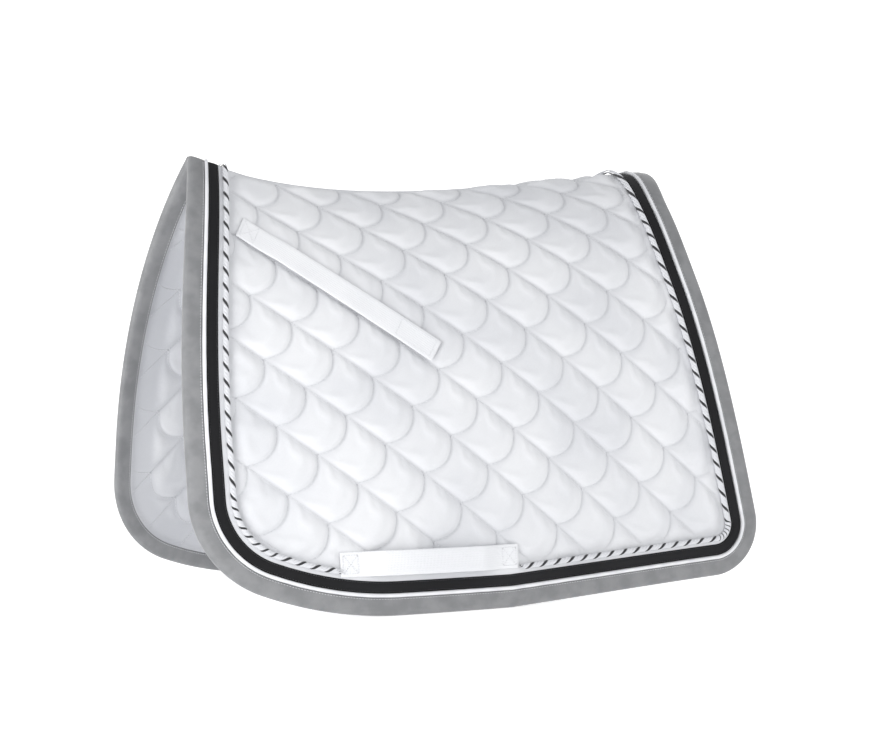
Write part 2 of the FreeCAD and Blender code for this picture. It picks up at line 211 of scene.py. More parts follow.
@dataclass(frozen=True)
class Outline:
    """Edge of the pad seen from the side: arcs and straight runs from front top to rear top."""

    half_length: float = 331.0
    front_arc_radius: float = 1092.0
    front_point_height: float = 170.0
    front_corner: float = 105.0
    front_corner_lift: float = 19.0
    front_bottom_radius: float = 400.0
    flat_end: float = 10.0
    rear_corner: float = 58.0
    rear_corner_lift: float = 17.0
    rear_waist: float = 269.0
    rear_waist_height: float = 428.0
    rear_arc_radius: float = 400.0
    rear_flare_radius: float = 68.0
    flare_turn: float = 75.0
    top: float = 600.0

    def points(self) -> Array:
        """Points of the edge a millimetre apart, as x and z."""
        def arc(centre: tuple[float, float], radius: float, begin: float, end: float) -> Array:
            turn = np.linspace(begin, end, max(8, int(radius * abs(end - begin))))
            return np.stack([centre[0] + radius * np.cos(turn),
                             centre[1] + radius * np.sin(turn)], -1)

        half, big = self.half_length, self.front_arc_radius
        rear = (half - self.rear_corner, self.rear_corner + self.rear_corner_lift)
        waist = (self.rear_waist + self.rear_arc_radius, self.rear_waist_height)
        apart = (waist[0] - rear[0], waist[1] - rear[1])
        lean = math.atan2(apart[1], apart[0]) - math.acos(
            (self.rear_arc_radius + self.rear_corner) / math.hypot(*apart))
        run = (rear[0] - self.flat_end, rear[1])
        low = math.atan2(run[1], run[0]) - math.asin(
            self.rear_corner / math.hypot(*run)) - math.pi / 2
        rise = math.asin((self.top - self.front_point_height) / big)
        corner, lift, bottom = (self.front_corner, self.front_corner_lift,
                                self.front_bottom_radius)
        front = (-half + corner, corner + lift)
        level_start = front[0] + math.sqrt(lift * (2 * (bottom - corner) - lift))
        turn = math.pi + math.atan2(bottom - front[1], level_start - front[0])
        flare = (self.rear_waist + self.rear_flare_radius, self.rear_waist_height)
        flare_end = math.pi - math.radians(self.flare_turn)
        runs = [
            arc((-half + big, self.front_point_height), big, math.pi - rise, math.pi),
            arc(front, corner, math.pi, turn),
            arc((level_start, bottom), bottom, turn, 1.5 * math.pi),
            np.array([[self.flat_end, 0.0]]),
            arc(rear, self.rear_corner, low, lean),
            arc(waist, self.rear_arc_radius, math.pi + lean, math.pi),
            arc(flare, self.rear_flare_radius, math.pi, flare_end),
            np.array([[flare[0] + self.rear_flare_radius * math.cos(flare_end), self.top]]),
        ]
        corners = np.concatenate(runs)
        length = np.concatenate([[0.0], np.cumsum(np.hypot(*np.diff(corners, axis=0).T))])
        along = np.arange(0.0, length[-1], 1.0)
        return np.stack([np.interp(along, length, corners[:, i]) for i in (0, 1)], -1)


class Edge:
    """Places given along the edge of the pad, inwards from it and outwards from the sheet."""

    REACH = 90.0      # length over which the ends of the inner rows settle on the seam

    def __init__(self, surface: PadSurface, outline: Outline) -> None:
        """Measure the edge and find where each inset meets the spine seam.

        Args:
            surface: Surface of the pad.
            outline: Its edge seen from the side.
        """
        self.surface = surface
        self.line = outline.points()
        tangent = unit(np.gradient(self.line, axis=0))
        self.inward = np.stack([-tangent[:, 1], tangent[:, 0]], -1)
        self.insets = np.linspace(0.0, 60.0, 13)
        ends = np.array([self._ends(inset) for inset in self.insets])
        self.front, self.rear = ends[:, 0], ends[:, 1]
        self.length = float(self.rear[0] - self.front[0])

    def _ends(self, inset: float) -> tuple[float, float]:
        """Places on the edge line where the row at an inset crosses the seam."""
        row = self.line + inset * self.inward
        above = row[:, 1] - (self.surface.drop - self.surface.spine_fall(row[:, 0]))
        under = np.flatnonzero(above < 0.0)
        first, last = under[0], under[-1]
        return (first - above[first] / (above[first] - above[first - 1]),
                last - above[last] / (above[last + 1] - above[last]))

    def flat(self, along: Array, inset: Array) -> tuple[Array, Array]:
        """Place on the sheet.

        The row at each inset is the edge line moved inwards along its normal.  Near its two ends
        it slides along so that every row starts and stops on the seam.

        Args:
            along: Distance along the edge from the withers end of the seam.
            inset: Distance inwards from the edge.

        Returns:
            x and s.
        """
        along, inset = np.broadcast_arrays(np.asarray(along, float), np.asarray(inset, float))
        start = np.interp(inset, self.insets, self.front) - self.front[0]
        stop = np.interp(inset, self.insets, self.rear) - self.rear[0]
        at = (self.front[0] + along + start * np.clip(1 - along / self.REACH, 0, 1)
              + stop * np.clip(1 - (self.length - along) / self.REACH, 0, 1))
        count = np.arange(len(self.line))
        x, z = (np.interp(at, count, self.line[:, i])
                + inset * np.interp(at, count, self.inward[:, i]) for i in (0, 1))
        return x, self.surface.s_at(x, z)

    def place(self, side: Side, along: Array, inset: Array, n: Array) -> Array:
        """Points at a distance along the edge, an inset and a height over the sheet."""
        x, s = self.flat(along, inset)
        return self.surface.place(side, x, s, n)

    def frames(self, side: Side, along: Array, inset: Array,
               n: Array) -> tuple[Array, Array, Array]:
        """Centre line with its outward and sideways directions.

        Args:
            side: Side of the pad.
            along: Distances along the edge.
            inset: Inset of the line.
            n: Height of the line over the sheet.

        Returns:
            Points, directions off the sheet, and directions across the line.
        """
        x, s = self.flat(along, inset)
        centre = self.surface.place(side, x, s, n)
        up = unit(self.surface.place(side, x, s, n + 1.0) - centre)
        tangent = unit(np.gradient(centre, axis=0))
        return centre, up, unit(np.cross(tangent, up))

    def inset_of(self, x: Array, z: Array) -> Array:
        """Distance of points inside the edge, seen from the side."""
        points = np.stack([x.ravel(), z.ravel()], -1)
        line, inward = self.line[::2], self.inward[::2]
        found = np.empty(len(points))
        for start in range(0, len(points), 8000):
            part = points[start:start + 8000]
            away = ((part[:, None, :] - line[None]) ** 2).sum(-1)
            near = away.argmin(1)
            found[start:start + 8000] = ((part - line[near]) * inward[near]).sum(-1)
        return found.reshape(x.shape)

    def along_at(self, x: float, inset: float) -> float:
        """Distance along the edge to where the row at an inset passes x along the bottom."""
        row = self.line + inset * self.inward
        low = row[:, 1] < inset + 20.0
        at = np.flatnonzero(low)[np.abs(row[low, 0] - x).argmin()]
        return float(at - self.front[0])


# ---------------------------------------------------------------- mesh helpers


def quads_of(rows: int, columns: int, wrap: bool) -> Array:
    """Corner numbers of the quads of a grid.

    Args:
        rows: Rows of points.
        columns: Points in each row.
        wrap: Whether each row closes on itself.

    Returns:
        Four numbers for each quad.
    """
    r, c = np.meshgrid(np.arange(rows - 1), np.arange(columns if wrap else columns - 1),
                       indexing="ij")
    nxt = (c + 1) % columns
    return np.stack([r * columns + c, r * columns + nxt,
                     (r + 1) * columns + nxt, (r + 1) * columns + c], -1).reshape(-1, 4)


def volume(points: Array, quads: Array, tris: Array) -> float:
    """Six times the volume inside closed faces, negative where they face inwards."""
    parts = [tris, quads[:, [0, 1, 2]], quads[:, [0, 2, 3]]]
    faces = np.concatenate([p for p in parts if len(p)])
    a, b, c = (points[faces[:, i]] for i in range(3))
    return float((a * np.cross(b, c)).sum())


def make_mesh(name: str, points: Array, quads: Array, tris: Array | None = None,
              cloth: Array | None = None, closed: bool = True) -> bpy.types.Object:
    """Put points and faces into a new object at the origin, faces outwards.

    Args:
        name: Name of the piece.
        points: Places of the vertices in millimetres.
        quads: Corner numbers of the four-sided faces.
        tris: Corner numbers of the three-sided faces.
        cloth: Place of each vertex on its cloth.
        closed: Whether the faces enclose a volume, so that they can be turned outwards.

    Returns:
        The new object, linked to the scene.
    """
    points = points.reshape(-1, 3)
    quads = np.asarray(quads, np.int32).reshape(-1, 4)
    tris = np.zeros((0, 3), np.int32) if tris is None else np.asarray(tris, np.int32)
    if closed and volume(points - points.mean(0), quads, tris) < 0.0:
        quads, tris = quads[:, ::-1], tris[:, ::-1]
    mesh = bpy.data.meshes.new(name)
    mesh.vertices.add(len(points))
    mesh.vertices.foreach_set("co", (points * MM).astype(np.float32).ravel())
    mesh.loops.add(quads.size + tris.size)
    mesh.loops.foreach_set("vertex_index", np.concatenate([quads.ravel(), tris.ravel()]))
    mesh.polygons.add(len(quads) + len(tris))
    starts = np.concatenate([np.arange(len(quads)) * 4,
                             quads.size + np.arange(len(tris)) * 3]).astype(np.int32)
    mesh.polygons.foreach_set("loop_start", starts)
    mesh.update(calc_edges=True)
    mesh.validate()
    mesh.polygons.foreach_set("use_smooth", np.ones(len(mesh.polygons), bool))
    if cloth is not None:
        layer = mesh.attributes.new(CLOTH, "FLOAT_VECTOR", "POINT")
        layer.data.foreach_set("vector", cloth.astype(np.float32).ravel())
    made = bpy.data.objects.new(name, mesh)
    bpy.context.scene.collection.objects.link(made)
    return made


def make_sweep(name: str, rings: Array, cloth: Array | None = None) -> bpy.types.Object:
    """Closed tube through rings of points, its two ends shut by fans.

    Args:
        name: Name of the piece.
        rings: Points with the ring on the first axis and the place round it on the second.
        cloth: Place on the cloth of each of those points.

    Returns:
        The new object.
    """
    rows, columns = rings.shape[:2]
    quads = quads_of(rows, columns, wrap=True)
    ends = np.stack([rings[0].mean(0), rings[-1].mean(0)])
    points = np.concatenate([rings.reshape(-1, 3), ends])
    c = np.arange(columns)
    nxt = (c + 1) % columns
    first, last = rows * columns, (rows - 1) * columns
    tris = np.concatenate([
        np.stack([nxt, c, np.full(columns, first)], -1),
        np.stack([last + c, last + nxt, np.full(columns, first + 1)], -1)])
    if cloth is not None:
        flat = cloth.reshape(-1, 3)
        cloth = np.concatenate([flat, flat[:1], flat[-1:]])
    return make_mesh(name, points, quads, tris, cloth)


def join(name: str, parts: Sequence[bpy.types.Object]) -> bpy.types.Object:
    """Join separate closed shapes of one finish into one piece."""
    with bpy.context.temp_override(active_object=parts[0], object=parts[0],
                                   selected_objects=list(parts),
                                   selected_editable_objects=list(parts)):
        bpy.ops.object.join()
    parts[0].name = parts[0].data.name = name
    return parts[0]


def make_stitches(name: str, starts: Array, ends: Array, up: Array,
                  radius: float) -> bpy.types.Object:
    """Short sunk threads, each a three-sided bar with pointed ends.

    Args:
        name: Name of the piece.
        starts: First end of each stitch.
        ends: Last end of each stitch.
        up: Direction off the cloth at each stitch.
        radius: Half the thickness of the thread.

    Returns:
        The new object.
    """
    way = ends - starts
    across = unit(np.cross(unit(way), up))
    turn = np.radians([90.0, 210.0, 330.0])
    ring = (np.cos(turn)[:, None, None] * across + np.sin(turn)[:, None, None] * up) * radius
    fore, aft = starts + 0.22 * way, ends - 0.22 * way
    sunk = 0.6 * radius * up
    corners = np.concatenate([(starts - sunk)[None], fore + ring, aft + ring,
                              (ends - sunk)[None]])
    points = corners.transpose(1, 0, 2).reshape(-1, 3)
    quads = np.array([[1, 2, 5, 4], [2, 3, 6, 5], [3, 1, 4, 6]])
    tris = np.array([[0, 2, 1], [0, 3, 2], [0, 1, 3], [7, 4, 5], [7, 5, 6], [7, 6, 4]])
    step = (np.arange(len(starts)) * 8)[:, None, None]
    return make_mesh(name, points, (quads + step).reshape(-1, 4), (tris + step).reshape(-1, 3))


# ---------------------------------------------------------------- shader helpers


class Signal:
    """A number socket that takes part in Python arithmetic."""

    def __init__(self, graph: Graph, socket: Any) -> None:
        """Keep the socket and the graph that it belongs to."""
        self.graph = graph
        self.socket = socket

    def _math(self, operation: str, *values: Any) -> Signal:
        """Add a Math node for an operation on values."""
        node = self.graph.node("ShaderNodeMath", {"operation": operation},
                               dict(enumerate(values)))
        return Signal(self.graph, node.outputs[0])

    def __add__(self, other: Any) -> Signal:
        """Sum."""
        return self._math("ADD", self, other)

    __radd__ = __add__

    def __mul__(self, other: Any) -> Signal:
        """Product."""
        return self._math("MULTIPLY", self, other)

    __rmul__ = __mul__

    def __sub__(self, other: Any) -> Signal:
        """Difference."""
        return self._math("SUBTRACT", self, other)

    def __rsub__(self, other: Any) -> Signal:
        """Difference from a plain number."""
        return self._math("SUBTRACT", other, self)

    def sine(self) -> Signal:
        """Sine of the number."""
        return self._math("SINE", self)

    def between(self, low: float, high: float) -> Signal:
        """Smooth rise from 0 at low to 1 at high."""
        node = self.graph.node("ShaderNodeMapRange", {"interpolation_type": "SMOOTHSTEP"},
                               {"Value": self, "From Min": low, "From Max": high})
        return Signal(self.graph, node.outputs["Result"])


class NodeTree:
    """Node tree with one way to add a node."""

    def __init__(self, owner: Any) -> None:
        """Empty the tree of a material or a world."""
        owner.use_nodes = True
        self.tree = owner.node_tree
        self.tree.nodes.clear()

    def node(self, kind: str, settings: dict[str, Any] | None = None,
             inputs: dict[Any, Any] | None = None) -> Any:
        """Add a node.

        Args:
            kind: Node type.
            settings: Properties, which are set first.
            inputs: Values, signals or sockets by input name or number.

        Returns:
            The node.
        """
        made = self.tree.nodes.new(kind)
        for key, value in (settings or {}).items():
            setattr(made, key, value)
        for key, value in (inputs or {}).items():
            if isinstance(value, Signal):
                value = value.socket
            if isinstance(value, bpy.types.NodeSocket):
                self.tree.links.new(value, made.inputs[key])
            else:
                made.inputs[key].default_value = value
        return made

    def mix(self, factor: Any, first: tuple[float, ...], second: tuple[float, ...]) -> Any:
        """Colour between two colours."""
        made = self.node("ShaderNodeMix", {"data_type": "RGBA"},
                         {0: factor, 6: (*first, 1.0), 7: (*second, 1.0)})
        return made.outputs[2]


class Graph(NodeTree):
    """Node tree of one material."""

    def __init__(self, name: str) -> None:
        """Start an empty material with a shader and an output."""
        self.material = bpy.data.materials.new(name)
        super().__init__(self.material)
        self.shader = self.node("ShaderNodeBsdfPrincipled")
        self.node("ShaderNodeOutputMaterial", {}, {"Surface": self.shader.outputs[0]})

    def cloth(self) -> tuple[Signal, Signal, Signal]:
        """The three numbers of the place on the cloth."""
        place = self.node("ShaderNodeAttribute", {"attribute_name": CLOTH})
        split = self.node("ShaderNodeSeparateXYZ", {}, {0: place.outputs["Vector"]})
        return tuple(Signal(self, out) for out in split.outputs)

    def noise(self, per_metre: float, detail: float = 2.0) -> Signal:
        """Noise on the object's own coordinates, with so many cells to the metre."""
        place = self.node("ShaderNodeTexCoord").outputs["Object"]
        made = self.node("ShaderNodeTexNoise", {}, {"Vector": place, "Scale": per_metre,
                                                    "Detail": detail})
        return Signal(self, made.outputs["Fac"])

    def bump(self, height: Signal, depth: float) -> Any:
        """Normal from a height of 0 to 1 over a depth in millimetres."""
        made = self.node("ShaderNodeBump", {}, {"Height": height, "Distance": depth * MM,
                                                "Strength": 1.0})
        return made.outputs["Normal"]

    def finish(self, colour: Any, roughness: Any, normal: Any = None,
               fixed: dict[str, Any] | None = None) -> bpy.types.Material:
        """Feed the shader and give the material back.

        Args:
            colour: Socket or colour for Base Color.
            roughness: Signal or number.
            normal: Socket for Normal.
            fixed: Numbers and colours set on the shader's own sockets.

        Returns:
            The finished material.
        """
        feeds = {"Base Color": colour, "Roughness": roughness, "Normal": normal}
        for key, value in feeds.items():
            if value is None:
                continue
            if isinstance(value, Signal):
                value = value.socket
            if isinstance(value, bpy.types.NodeSocket):
                self.tree.links.new(value, self.shader.inputs[key])
            else:
                self.shader.inputs[key].default_value = value
        for key, value in (fixed or {}).items():
            self.shader.inputs[key].default_value = value
        return self.material


# ---------------------------------------------------------------- finishes


@dataclass(frozen=True)
class WovenFinish:
    """Plain or ribbed woven cloth: two crossing sets of threads, slight tone changes and painted
    groove shade.
    """

    name: str
    slot: str
    light: tuple[float, float, float]
    dark: tuple[float, float, float]
    roughness: float
    across_pitch: float      # threads across the cloth's first direction, millimetres
    along_pitch: float       # threads across its second direction
    depth: float             # height of the weave, millimetres
    sheen: float = 0.0
    # darken the colour where quilted cloth lies low in its seams: painted shade
    painted_groove_shade: bool = False

    def material(self) -> bpy.types.Material:
        """Threads as a product of two sines, tone from noise and, on quilting, painted shade from
        the puff.
        """
        graph = Graph(self.name)
        first, second, puff = graph.cloth()
        warp = (first * (math.tau / self.across_pitch)).sine()
        weft = (second * (math.tau / self.along_pitch)).sine()
        threads = (warp * 0.5 + 0.5) * 0.6 + (weft * 0.5 + 0.5) * 0.4
        patch = graph.noise(9.0).between(0.3, 0.7)
        fleck = graph.noise(900.0, 1.0)
        shade = patch * 0.5 + fleck * 0.3 + threads * 0.2
        # On quilting the colour darkens where the puff is low, in the seams: painted shade in the
        # grooves.
        if self.painted_groove_shade:
            shade = shade * (0.35 + puff.between(0.0, 0.5) * 0.65)
        colour = graph.mix(shade, self.dark, self.light)
        height = threads * 0.8 + fleck * 0.2
        return graph.finish(colour, self.roughness + fleck * 0.08,
                            graph.bump(height, self.depth),
                            {"Sheen Weight": self.sheen, "Sheen Roughness": 0.4,
                             "Specular IOR Level": 0.25})


@dataclass(frozen=True)
class SatinFinish:
    """Satin: long floats along the cloth that shine, with fine cross ripples."""

    name: str
    slot: str
    light: tuple[float, float, float]
    dark: tuple[float, float, float]
    roughness: float
    anisotropy: float = 0.4

    def material(self) -> bpy.types.Material:
        """Fine cross threads, slow streaks in the shade and a soft gloss."""
        graph = Graph(self.name)
        first, second, _ = graph.cloth()
        floats = (first * (math.tau / 0.55) + (second * 3.0).sine()).sine() * 0.5 + 0.5
        streak = graph.noise(55.0, 3.0).between(0.3, 0.7)
        colour = graph.mix(streak * 0.6 + floats * 0.4, self.dark, self.light)
        height = floats * 0.5 + graph.noise(260.0) * 0.5
        return graph.finish(colour, self.roughness + streak * 0.1, graph.bump(height, 0.12),
                            {"Sheen Weight": 0.25, "Sheen Roughness": 0.35,
                             "Anisotropic": self.anisotropy})


@dataclass(frozen=True)
class YarnFinish:
    """Twisted yarn: fine slanting fibres round each strand."""

    name: str
    slot: str
    light: tuple[float, float, float]
    dark: tuple[float, float, float]
    roughness: float

    def material(self) -> bpy.types.Material:
        """Slanting ridges from the two places on the strand."""
        graph = Graph(self.name)
        first, second, _ = graph.cloth()
        ridge = (first * (math.tau / 0.9) + second * 5.0).sine() * 0.5 + 0.5
        fleck = graph.noise(1500.0, 1.0)
        colour = graph.mix(ridge * 0.6 + fleck * 0.4, self.dark, self.light)
        return graph.finish(colour, self.roughness, graph.bump(ridge * 0.7 + fleck * 0.3, 0.1),
                            {"Sheen Weight": 0.15})


@dataclass(frozen=True)
class PileFinish:
    """Hook and loop tape: a dense short pile."""

    name: str
    slot: str
    light: tuple[float, float, float]
    dark: tuple[float, float, float]

    def material(self) -> bpy.types.Material:
        """Speckled pile from fine noise."""
        graph = Graph(self.name)
        pile = graph.noise(1300.0, 2.0).between(0.35, 0.65)
        return graph.finish(graph.mix(pile, self.dark, self.light), 0.9, graph.bump(pile, 0.5),
                            {"Sheen Weight": 0.3})


class Finish(Enum):
    """The finishes of the pad."""

    # The last True on COVER and LINING turns on their painted shade in the quilting grooves.
    COVER = WovenFinish("quilted_cotton", "cotton_cover", (0.78, 0.785, 0.8),
                        (0.62, 0.63, 0.66), 0.78, 0.9, 0.9, 0.1, 0.1, True)
    LINING = WovenFinish("lining_cotton", "cotton_lining", (0.77, 0.775, 0.79),
                         (0.5, 0.51, 0.54), 0.85, 1.3, 1.3, 0.15, 0.1, True)
    WEBBING = WovenFinish("white_webbing", "webbing", (0.88, 0.885, 0.9),
                          (0.7, 0.71, 0.74), 0.6, 1.6, 2.4, 0.3, 0.2)
    RIBBON = WovenFinish("black_grosgrain", "ribbon", (0.012, 0.012, 0.014),
                         (0.003, 0.003, 0.004), 0.62, 1.2, 40.0, 0.3, 0.02)
    TAPE = WovenFinish("seam_tape", "seam_tape", (0.82, 0.825, 0.84),
                       (0.66, 0.67, 0.7), 0.8, 1.4, 1.0, 0.2, 0.2)
    BINDING = SatinFinish("grey_satin", "satin_binding", (0.265, 0.268, 0.275),
                          (0.17, 0.173, 0.18), 0.42)
    PIPING = SatinFinish("white_piping", "piping", (0.86, 0.865, 0.88),
                         (0.7, 0.71, 0.74), 0.5)
    WHITE_CORD = YarnFinish("white_yarn", "twisted_cord", (0.86, 0.865, 0.88),
                            (0.55, 0.56, 0.6), 0.7)
    BLACK_CORD = YarnFinish("black_yarn", "twisted_cord", (0.03, 0.03, 0.035),
                            (0.008, 0.008, 0.01), 0.6)
    THREAD = YarnFinish("white_thread", "thread", (0.85, 0.855, 0.87),
                        (0.6, 0.61, 0.64), 0.55)
    DARK_THREAD = YarnFinish("black_thread", "thread", (0.03, 0.03, 0.035),
                             (0.01, 0.01, 0.012), 0.5)
    PILE = PileFinish("hook_and_loop", "hook_and_loop", (0.78, 0.785, 0.8), (0.4, 0.41, 0.44))


class Workroom:
    """What every sub-assembly shares: the surface, its edge and the finishes."""

    FOLD_FALL = math.radians(56.0)      # slope of the sheet where it crosses the fold line
    FOLD_REACH = 0.03      # metres of fabric on each side of the fold line that bend

    def __init__(self) -> None:
        """Measure the pad and prepare the store of materials."""
        self.surface = PadSurface()
        self.edge = Edge(self.surface, Outline())
        self.materials: dict[Finish, bpy.types.Material] = {}

    def dress(self, piece: bpy.types.Object, finish: Finish) -> None:
        """Give a piece its finish."""
        if finish not in self.materials:
            self.materials[finish] = finish.value.material()
        piece.data.materials.clear()
        piece.data.materials.append(self.materials[finish])

    def fold(self, side: Side) -> tuple[tuple[float, ...], tuple[float, ...]]:
        """Where fabric over the fold line starts and ends its bend.

        Returns:
            A point above the fold line and one below it, square to it, in metres.
        """
        joint = next(j for j in frame["joints"] if j["name"] == side.word + "_flap_fold")
        middle = np.array(joint["pos_m"], float)
        axis = unit(np.array(joint["axis"], float))
        out = np.array([axis[1], -axis[0], 0.0])
        out = out if out[1] * side.sign > 0 else -out
        fall = out * math.cos(self.FOLD_FALL) - np.array([0.0, 0.0, math.sin(self.FOLD_FALL)])
        way = self.FOLD_REACH * unit(fall - axis * float(fall @ axis))
        return tuple(middle - way), tuple(middle + way)

    def hang(self, piece: bpy.types.Object, side: Side) -> None:
        """Bake a piece's transform; where a bend over the fold line would start and end is found,
        but the piece is not bent.
        """
        start, end = self.fold(side)
        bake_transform(piece)
        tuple(start)
        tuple(end)


# ---------------------------------------------------------------- quilted halves


@dataclass(frozen=True)
class Quilting:
    """Scallop quilting on the flat cloth.

    A cloth place is corner + (p + bow) * straight + q * across, where bow is
    4 * sag * f * (1 - f) and f is the part of q past the last whole number.  Straight seams run
    where q is whole and rows of arcs where p is whole.
    """

    corner: tuple[float, float] = (-198.2, 355.8)
    straight: tuple[float, float] = (39.8, 35.4)
    across: tuple[float, float] = (34.0, -36.8)
    sag: float = 0.25
    parts: int = 16

    def flat(self, p: Array, q: Array) -> tuple[Array, Array]:
        """Cloth place of a lattice place."""
        f = q - np.floor(q)
        row = p + 4.0 * self.sag * f * (1.0 - f)
        return tuple(self.corner[i] + row * self.straight[i] + q * self.across[i]
                     for i in (0, 1))

    def membrane(self) -> Array:
        """Rise of a membrane held along one cell's seams and pushed evenly from below.

        Each lattice square is cut into two triangles.  A triangle ties its corners together with
        the dot products of its sides over four times its area, and every corner carries a third
        of its area as load.

        Returns:
            Rise at each lattice place of the cell, at most 1.
        """
        count = self.parts + 1
        at = np.arange(count) / self.parts
        p, q = np.meshgrid(at, at, indexing="ij")
        f = 4.0 * self.sag * q * (1.0 - q)
        spots = ((p + f)[..., None] * np.array(self.straight)
                 + q[..., None] * np.array(self.across)).reshape(-1, 2)
        quads = quads_of(count, count, wrap=False)
        tris = np.concatenate([quads[:, [0, 1, 2]], quads[:, [0, 2, 3]]])
        sides = spots[np.roll(tris, -2, 1)] - spots[np.roll(tris, -1, 1)]
        area = 0.5 * np.abs(sides[:, 0, 0] * sides[:, 1, 1] - sides[:, 0, 1] * sides[:, 1, 0])
        ties = np.einsum("tik,tjk->tij", sides, sides) / (4.0 * area)[:, None, None]
        stiff, load = np.zeros((count ** 2, count ** 2)), np.zeros(count ** 2)
        np.add.at(stiff, (tris[:, :, None], tris[:, None, :]), ties)
        np.add.at(load, tris, (area / 3.0)[:, None])
        free = ((p > 0.0) & (p < 1.0) & (q > 0.0) & (q < 1.0)).ravel()
        rise = np.zeros(count ** 2)
        rise[free] = np.linalg.solve(stiff[np.ix_(free, free)], load[free])
        return (rise / rise.max()).reshape(count, count)

    def reach(self, width: float, depth: float) -> tuple[Array, Array]:
        """Lattice numbers that cover a cloth.

        Args:
            width: Half the cloth's length along the spine.
            depth: Its length down from the spine.

        Returns:
            Evenly spaced p and q, with whole numbers among them.
        """
        corners = np.array([[x - self.corner[0], v - self.corner[1]]
                            for x in (-width, width) for v in (-10.0, depth)])
        lattice = corners @ np.linalg.inv(np.array([self.straight, self.across]))
        low, high = np.floor(lattice.min(0)) - 1, np.ceil(lattice.max(0)) + 1
        return tuple(np.arange(low[i] * self.parts, high[i] * self.parts + 1) / self.parts
                     for i in (0, 1))


@dataclass
class QuiltHalf:
    """One half of the quilt: cover and lining, each padded, sewn through along the quilting."""

    side: Side
    room: Workroom
    pattern: Quilting = field(default_factory=Quilting)
    trim_level: float = 4.4       # height of the cloth under the trims
    seam_level: float = 1.0       # height of the cloth in a quilting seam
    hidden: float = 7.0           # inset of the cut edge, inside the binding
    trim_inset: float = 46.0      # inset where the trims end and the quilting shows
    puff: float = 6.6             # rise of a full cell over its seams
    lining_share: float = 0.62    # how much of that the lining shows
    sewn_level: float = 4.4       # height of the cover under sewn webbing
    strap_level: float = 6.2      # most that it rises under the free strap
    border_rise: float = 1.4      # how much higher the seams lie beside the trims
    border_width: float = 26.0    # distance over which they come down
    cloth_half: float = 345.0     # half the cloth's length along the spine
    cloth_depth: float = 600.0    # its length down from the spine

    def build(self) -> None:
        """Cut, puff and place the cover and the lining, with their quilting stitches."""
        self._lay_out()
        self._puff_up()
        self._skin("cover", self._cover_height(), Finish.COVER)
        self._skin("lining", self._lining_height(), Finish.LINING)
        self._stitch("cover", 1.0, Finish.THREAD)
        self._stitch("lining", -1.0, Finish.THREAD)

    def _lay_out(self) -> None:
        """Spread the lattice over the half, keep what lies inside the edge, find the border."""
        surface, edge = self.room.surface, self.room.edge
        p, q = np.meshgrid(*self.pattern.reach(self.cloth_half, self.cloth_depth),
                           indexing="ij")
        u, v = self.pattern.flat(p, q)
        x = -self.side.sign * u
        s = v - surface.spine_fall(x)
        rough = (np.abs(x) < self.cloth_half) & (s > -8.0) & (s < self.cloth_depth)
        inset = np.full(x.shape, -1.0)
        z = np.full(x.shape, 0.0)
        inside_s = np.maximum(s[rough], 0.0)
        z[rough] = surface.place(self.side, x[rough], inside_s, 0.0)[..., 2]
        inset[rough] = edge.inset_of(x[rough], z[rough] + np.maximum(-s[rough], 0.0))
        good = rough & (inset > self.hidden)
        rows, columns = x.shape
        quads = quads_of(rows, columns, wrap=False)
        kept = good.ravel()[quads].all(1) & (s.ravel()[quads] > 0.0).any(1)
        quads = quads[kept]
        used, self.quads = np.unique(quads, return_inverse=True)
        self.quads = self.quads.reshape(quads.shape)
        self.p, self.q, self.u, self.v, self.x, self.inset, self.z = (
            a.ravel()[used] for a in (p, q, u, v, x, inset, z))
        self.s = np.maximum(s.ravel()[used], 0.0)
        sides = np.concatenate([self.quads[:, [i, (i + 1) % 4]] for i in range(4)])
        _, first, count = np.unique(np.sort(sides, 1), axis=0, return_index=True,
                                    return_counts=True)
        self.border = sides[first[count == 1]]

    def _seams(self) -> Array:
        """Whether each vertex is sewn down."""
        whole = [np.abs(a - np.round(a)) < 1e-6 for a in (self.p, self.q)]
        return whole[0] | whole[1] | (self.inset < self.trim_inset + 1.0) | (self.s < 2.0)

    def _dome(self) -> Array:
        """Plain puff of each cell: the membrane, fuller towards the seams."""
        step = [np.round((a - np.floor(a)) * self.pattern.parts).astype(int)
                for a in (self.p, self.q)]
        cell = self.pattern.membrane()[step[0], step[1]] ** 0.62
        near_trim = smooth_step(self.trim_inset, self.trim_inset + 16.0, self.inset)
        return cell * np.sqrt(near_trim) * smooth_step(0.0, 14.0, self.s)

    def _puff_up(self) -> None:
        """Raise the cells: cloth with a little slack, held along its seams and blown up."""
        self.shift = np.zeros((len(self.u), 2))
        self.height = self._dome()
        flat = np.stack([self.u, -self.v, np.zeros_like(self.u)], -1)
        flat[:, 2] = 3.0 * self.height
        moved = Blowing().run(flat, self.quads, self._seams())
        tall = np.clip(moved[:, 2], 0.0, None)
        full = float(np.percentile(tall, 97.0))
        self.height = 0.6 * self.height + 0.4 * np.minimum(tall / full, 1.2)
        self.shift = (np.stack([moved[:, 0] - self.u, -moved[:, 1] - self.v], -1)
                      * 0.5 * min(1.0, self.puff / full))
        log.info("cells rise %.1f mm before they are packed down, and shift up to %.1f mm",
                 full, float(np.abs(self.shift).max()))

    def _pressed(self, areas: Sequence[tuple]) -> Array:
        """How far each place lies under webbing: 1 beneath it, fading to 0 in 7 mm."""
        found = np.zeros_like(self.x)
        for (x, z), along, (half_length, half_width) in areas:
            dx, dz = self.x - x, self.z - z
            a = np.abs(dx * along[0] + dz * along[1]) - half_length
            b = np.abs(-dx * along[1] + dz * along[0]) - half_width
            found = np.maximum(found, 1.0 - smooth_step(0.0, 7.0, np.maximum(a, b)))
        return found

    def _seam_height(self, inset: Array) -> Array:
        """Height of the cover's seams, which lie a little higher beside the trims."""
        inner = self.trim_inset
        return self.seam_level + self.border_rise * (
            1.0 - smooth_step(inner, inner + self.border_width, inset))

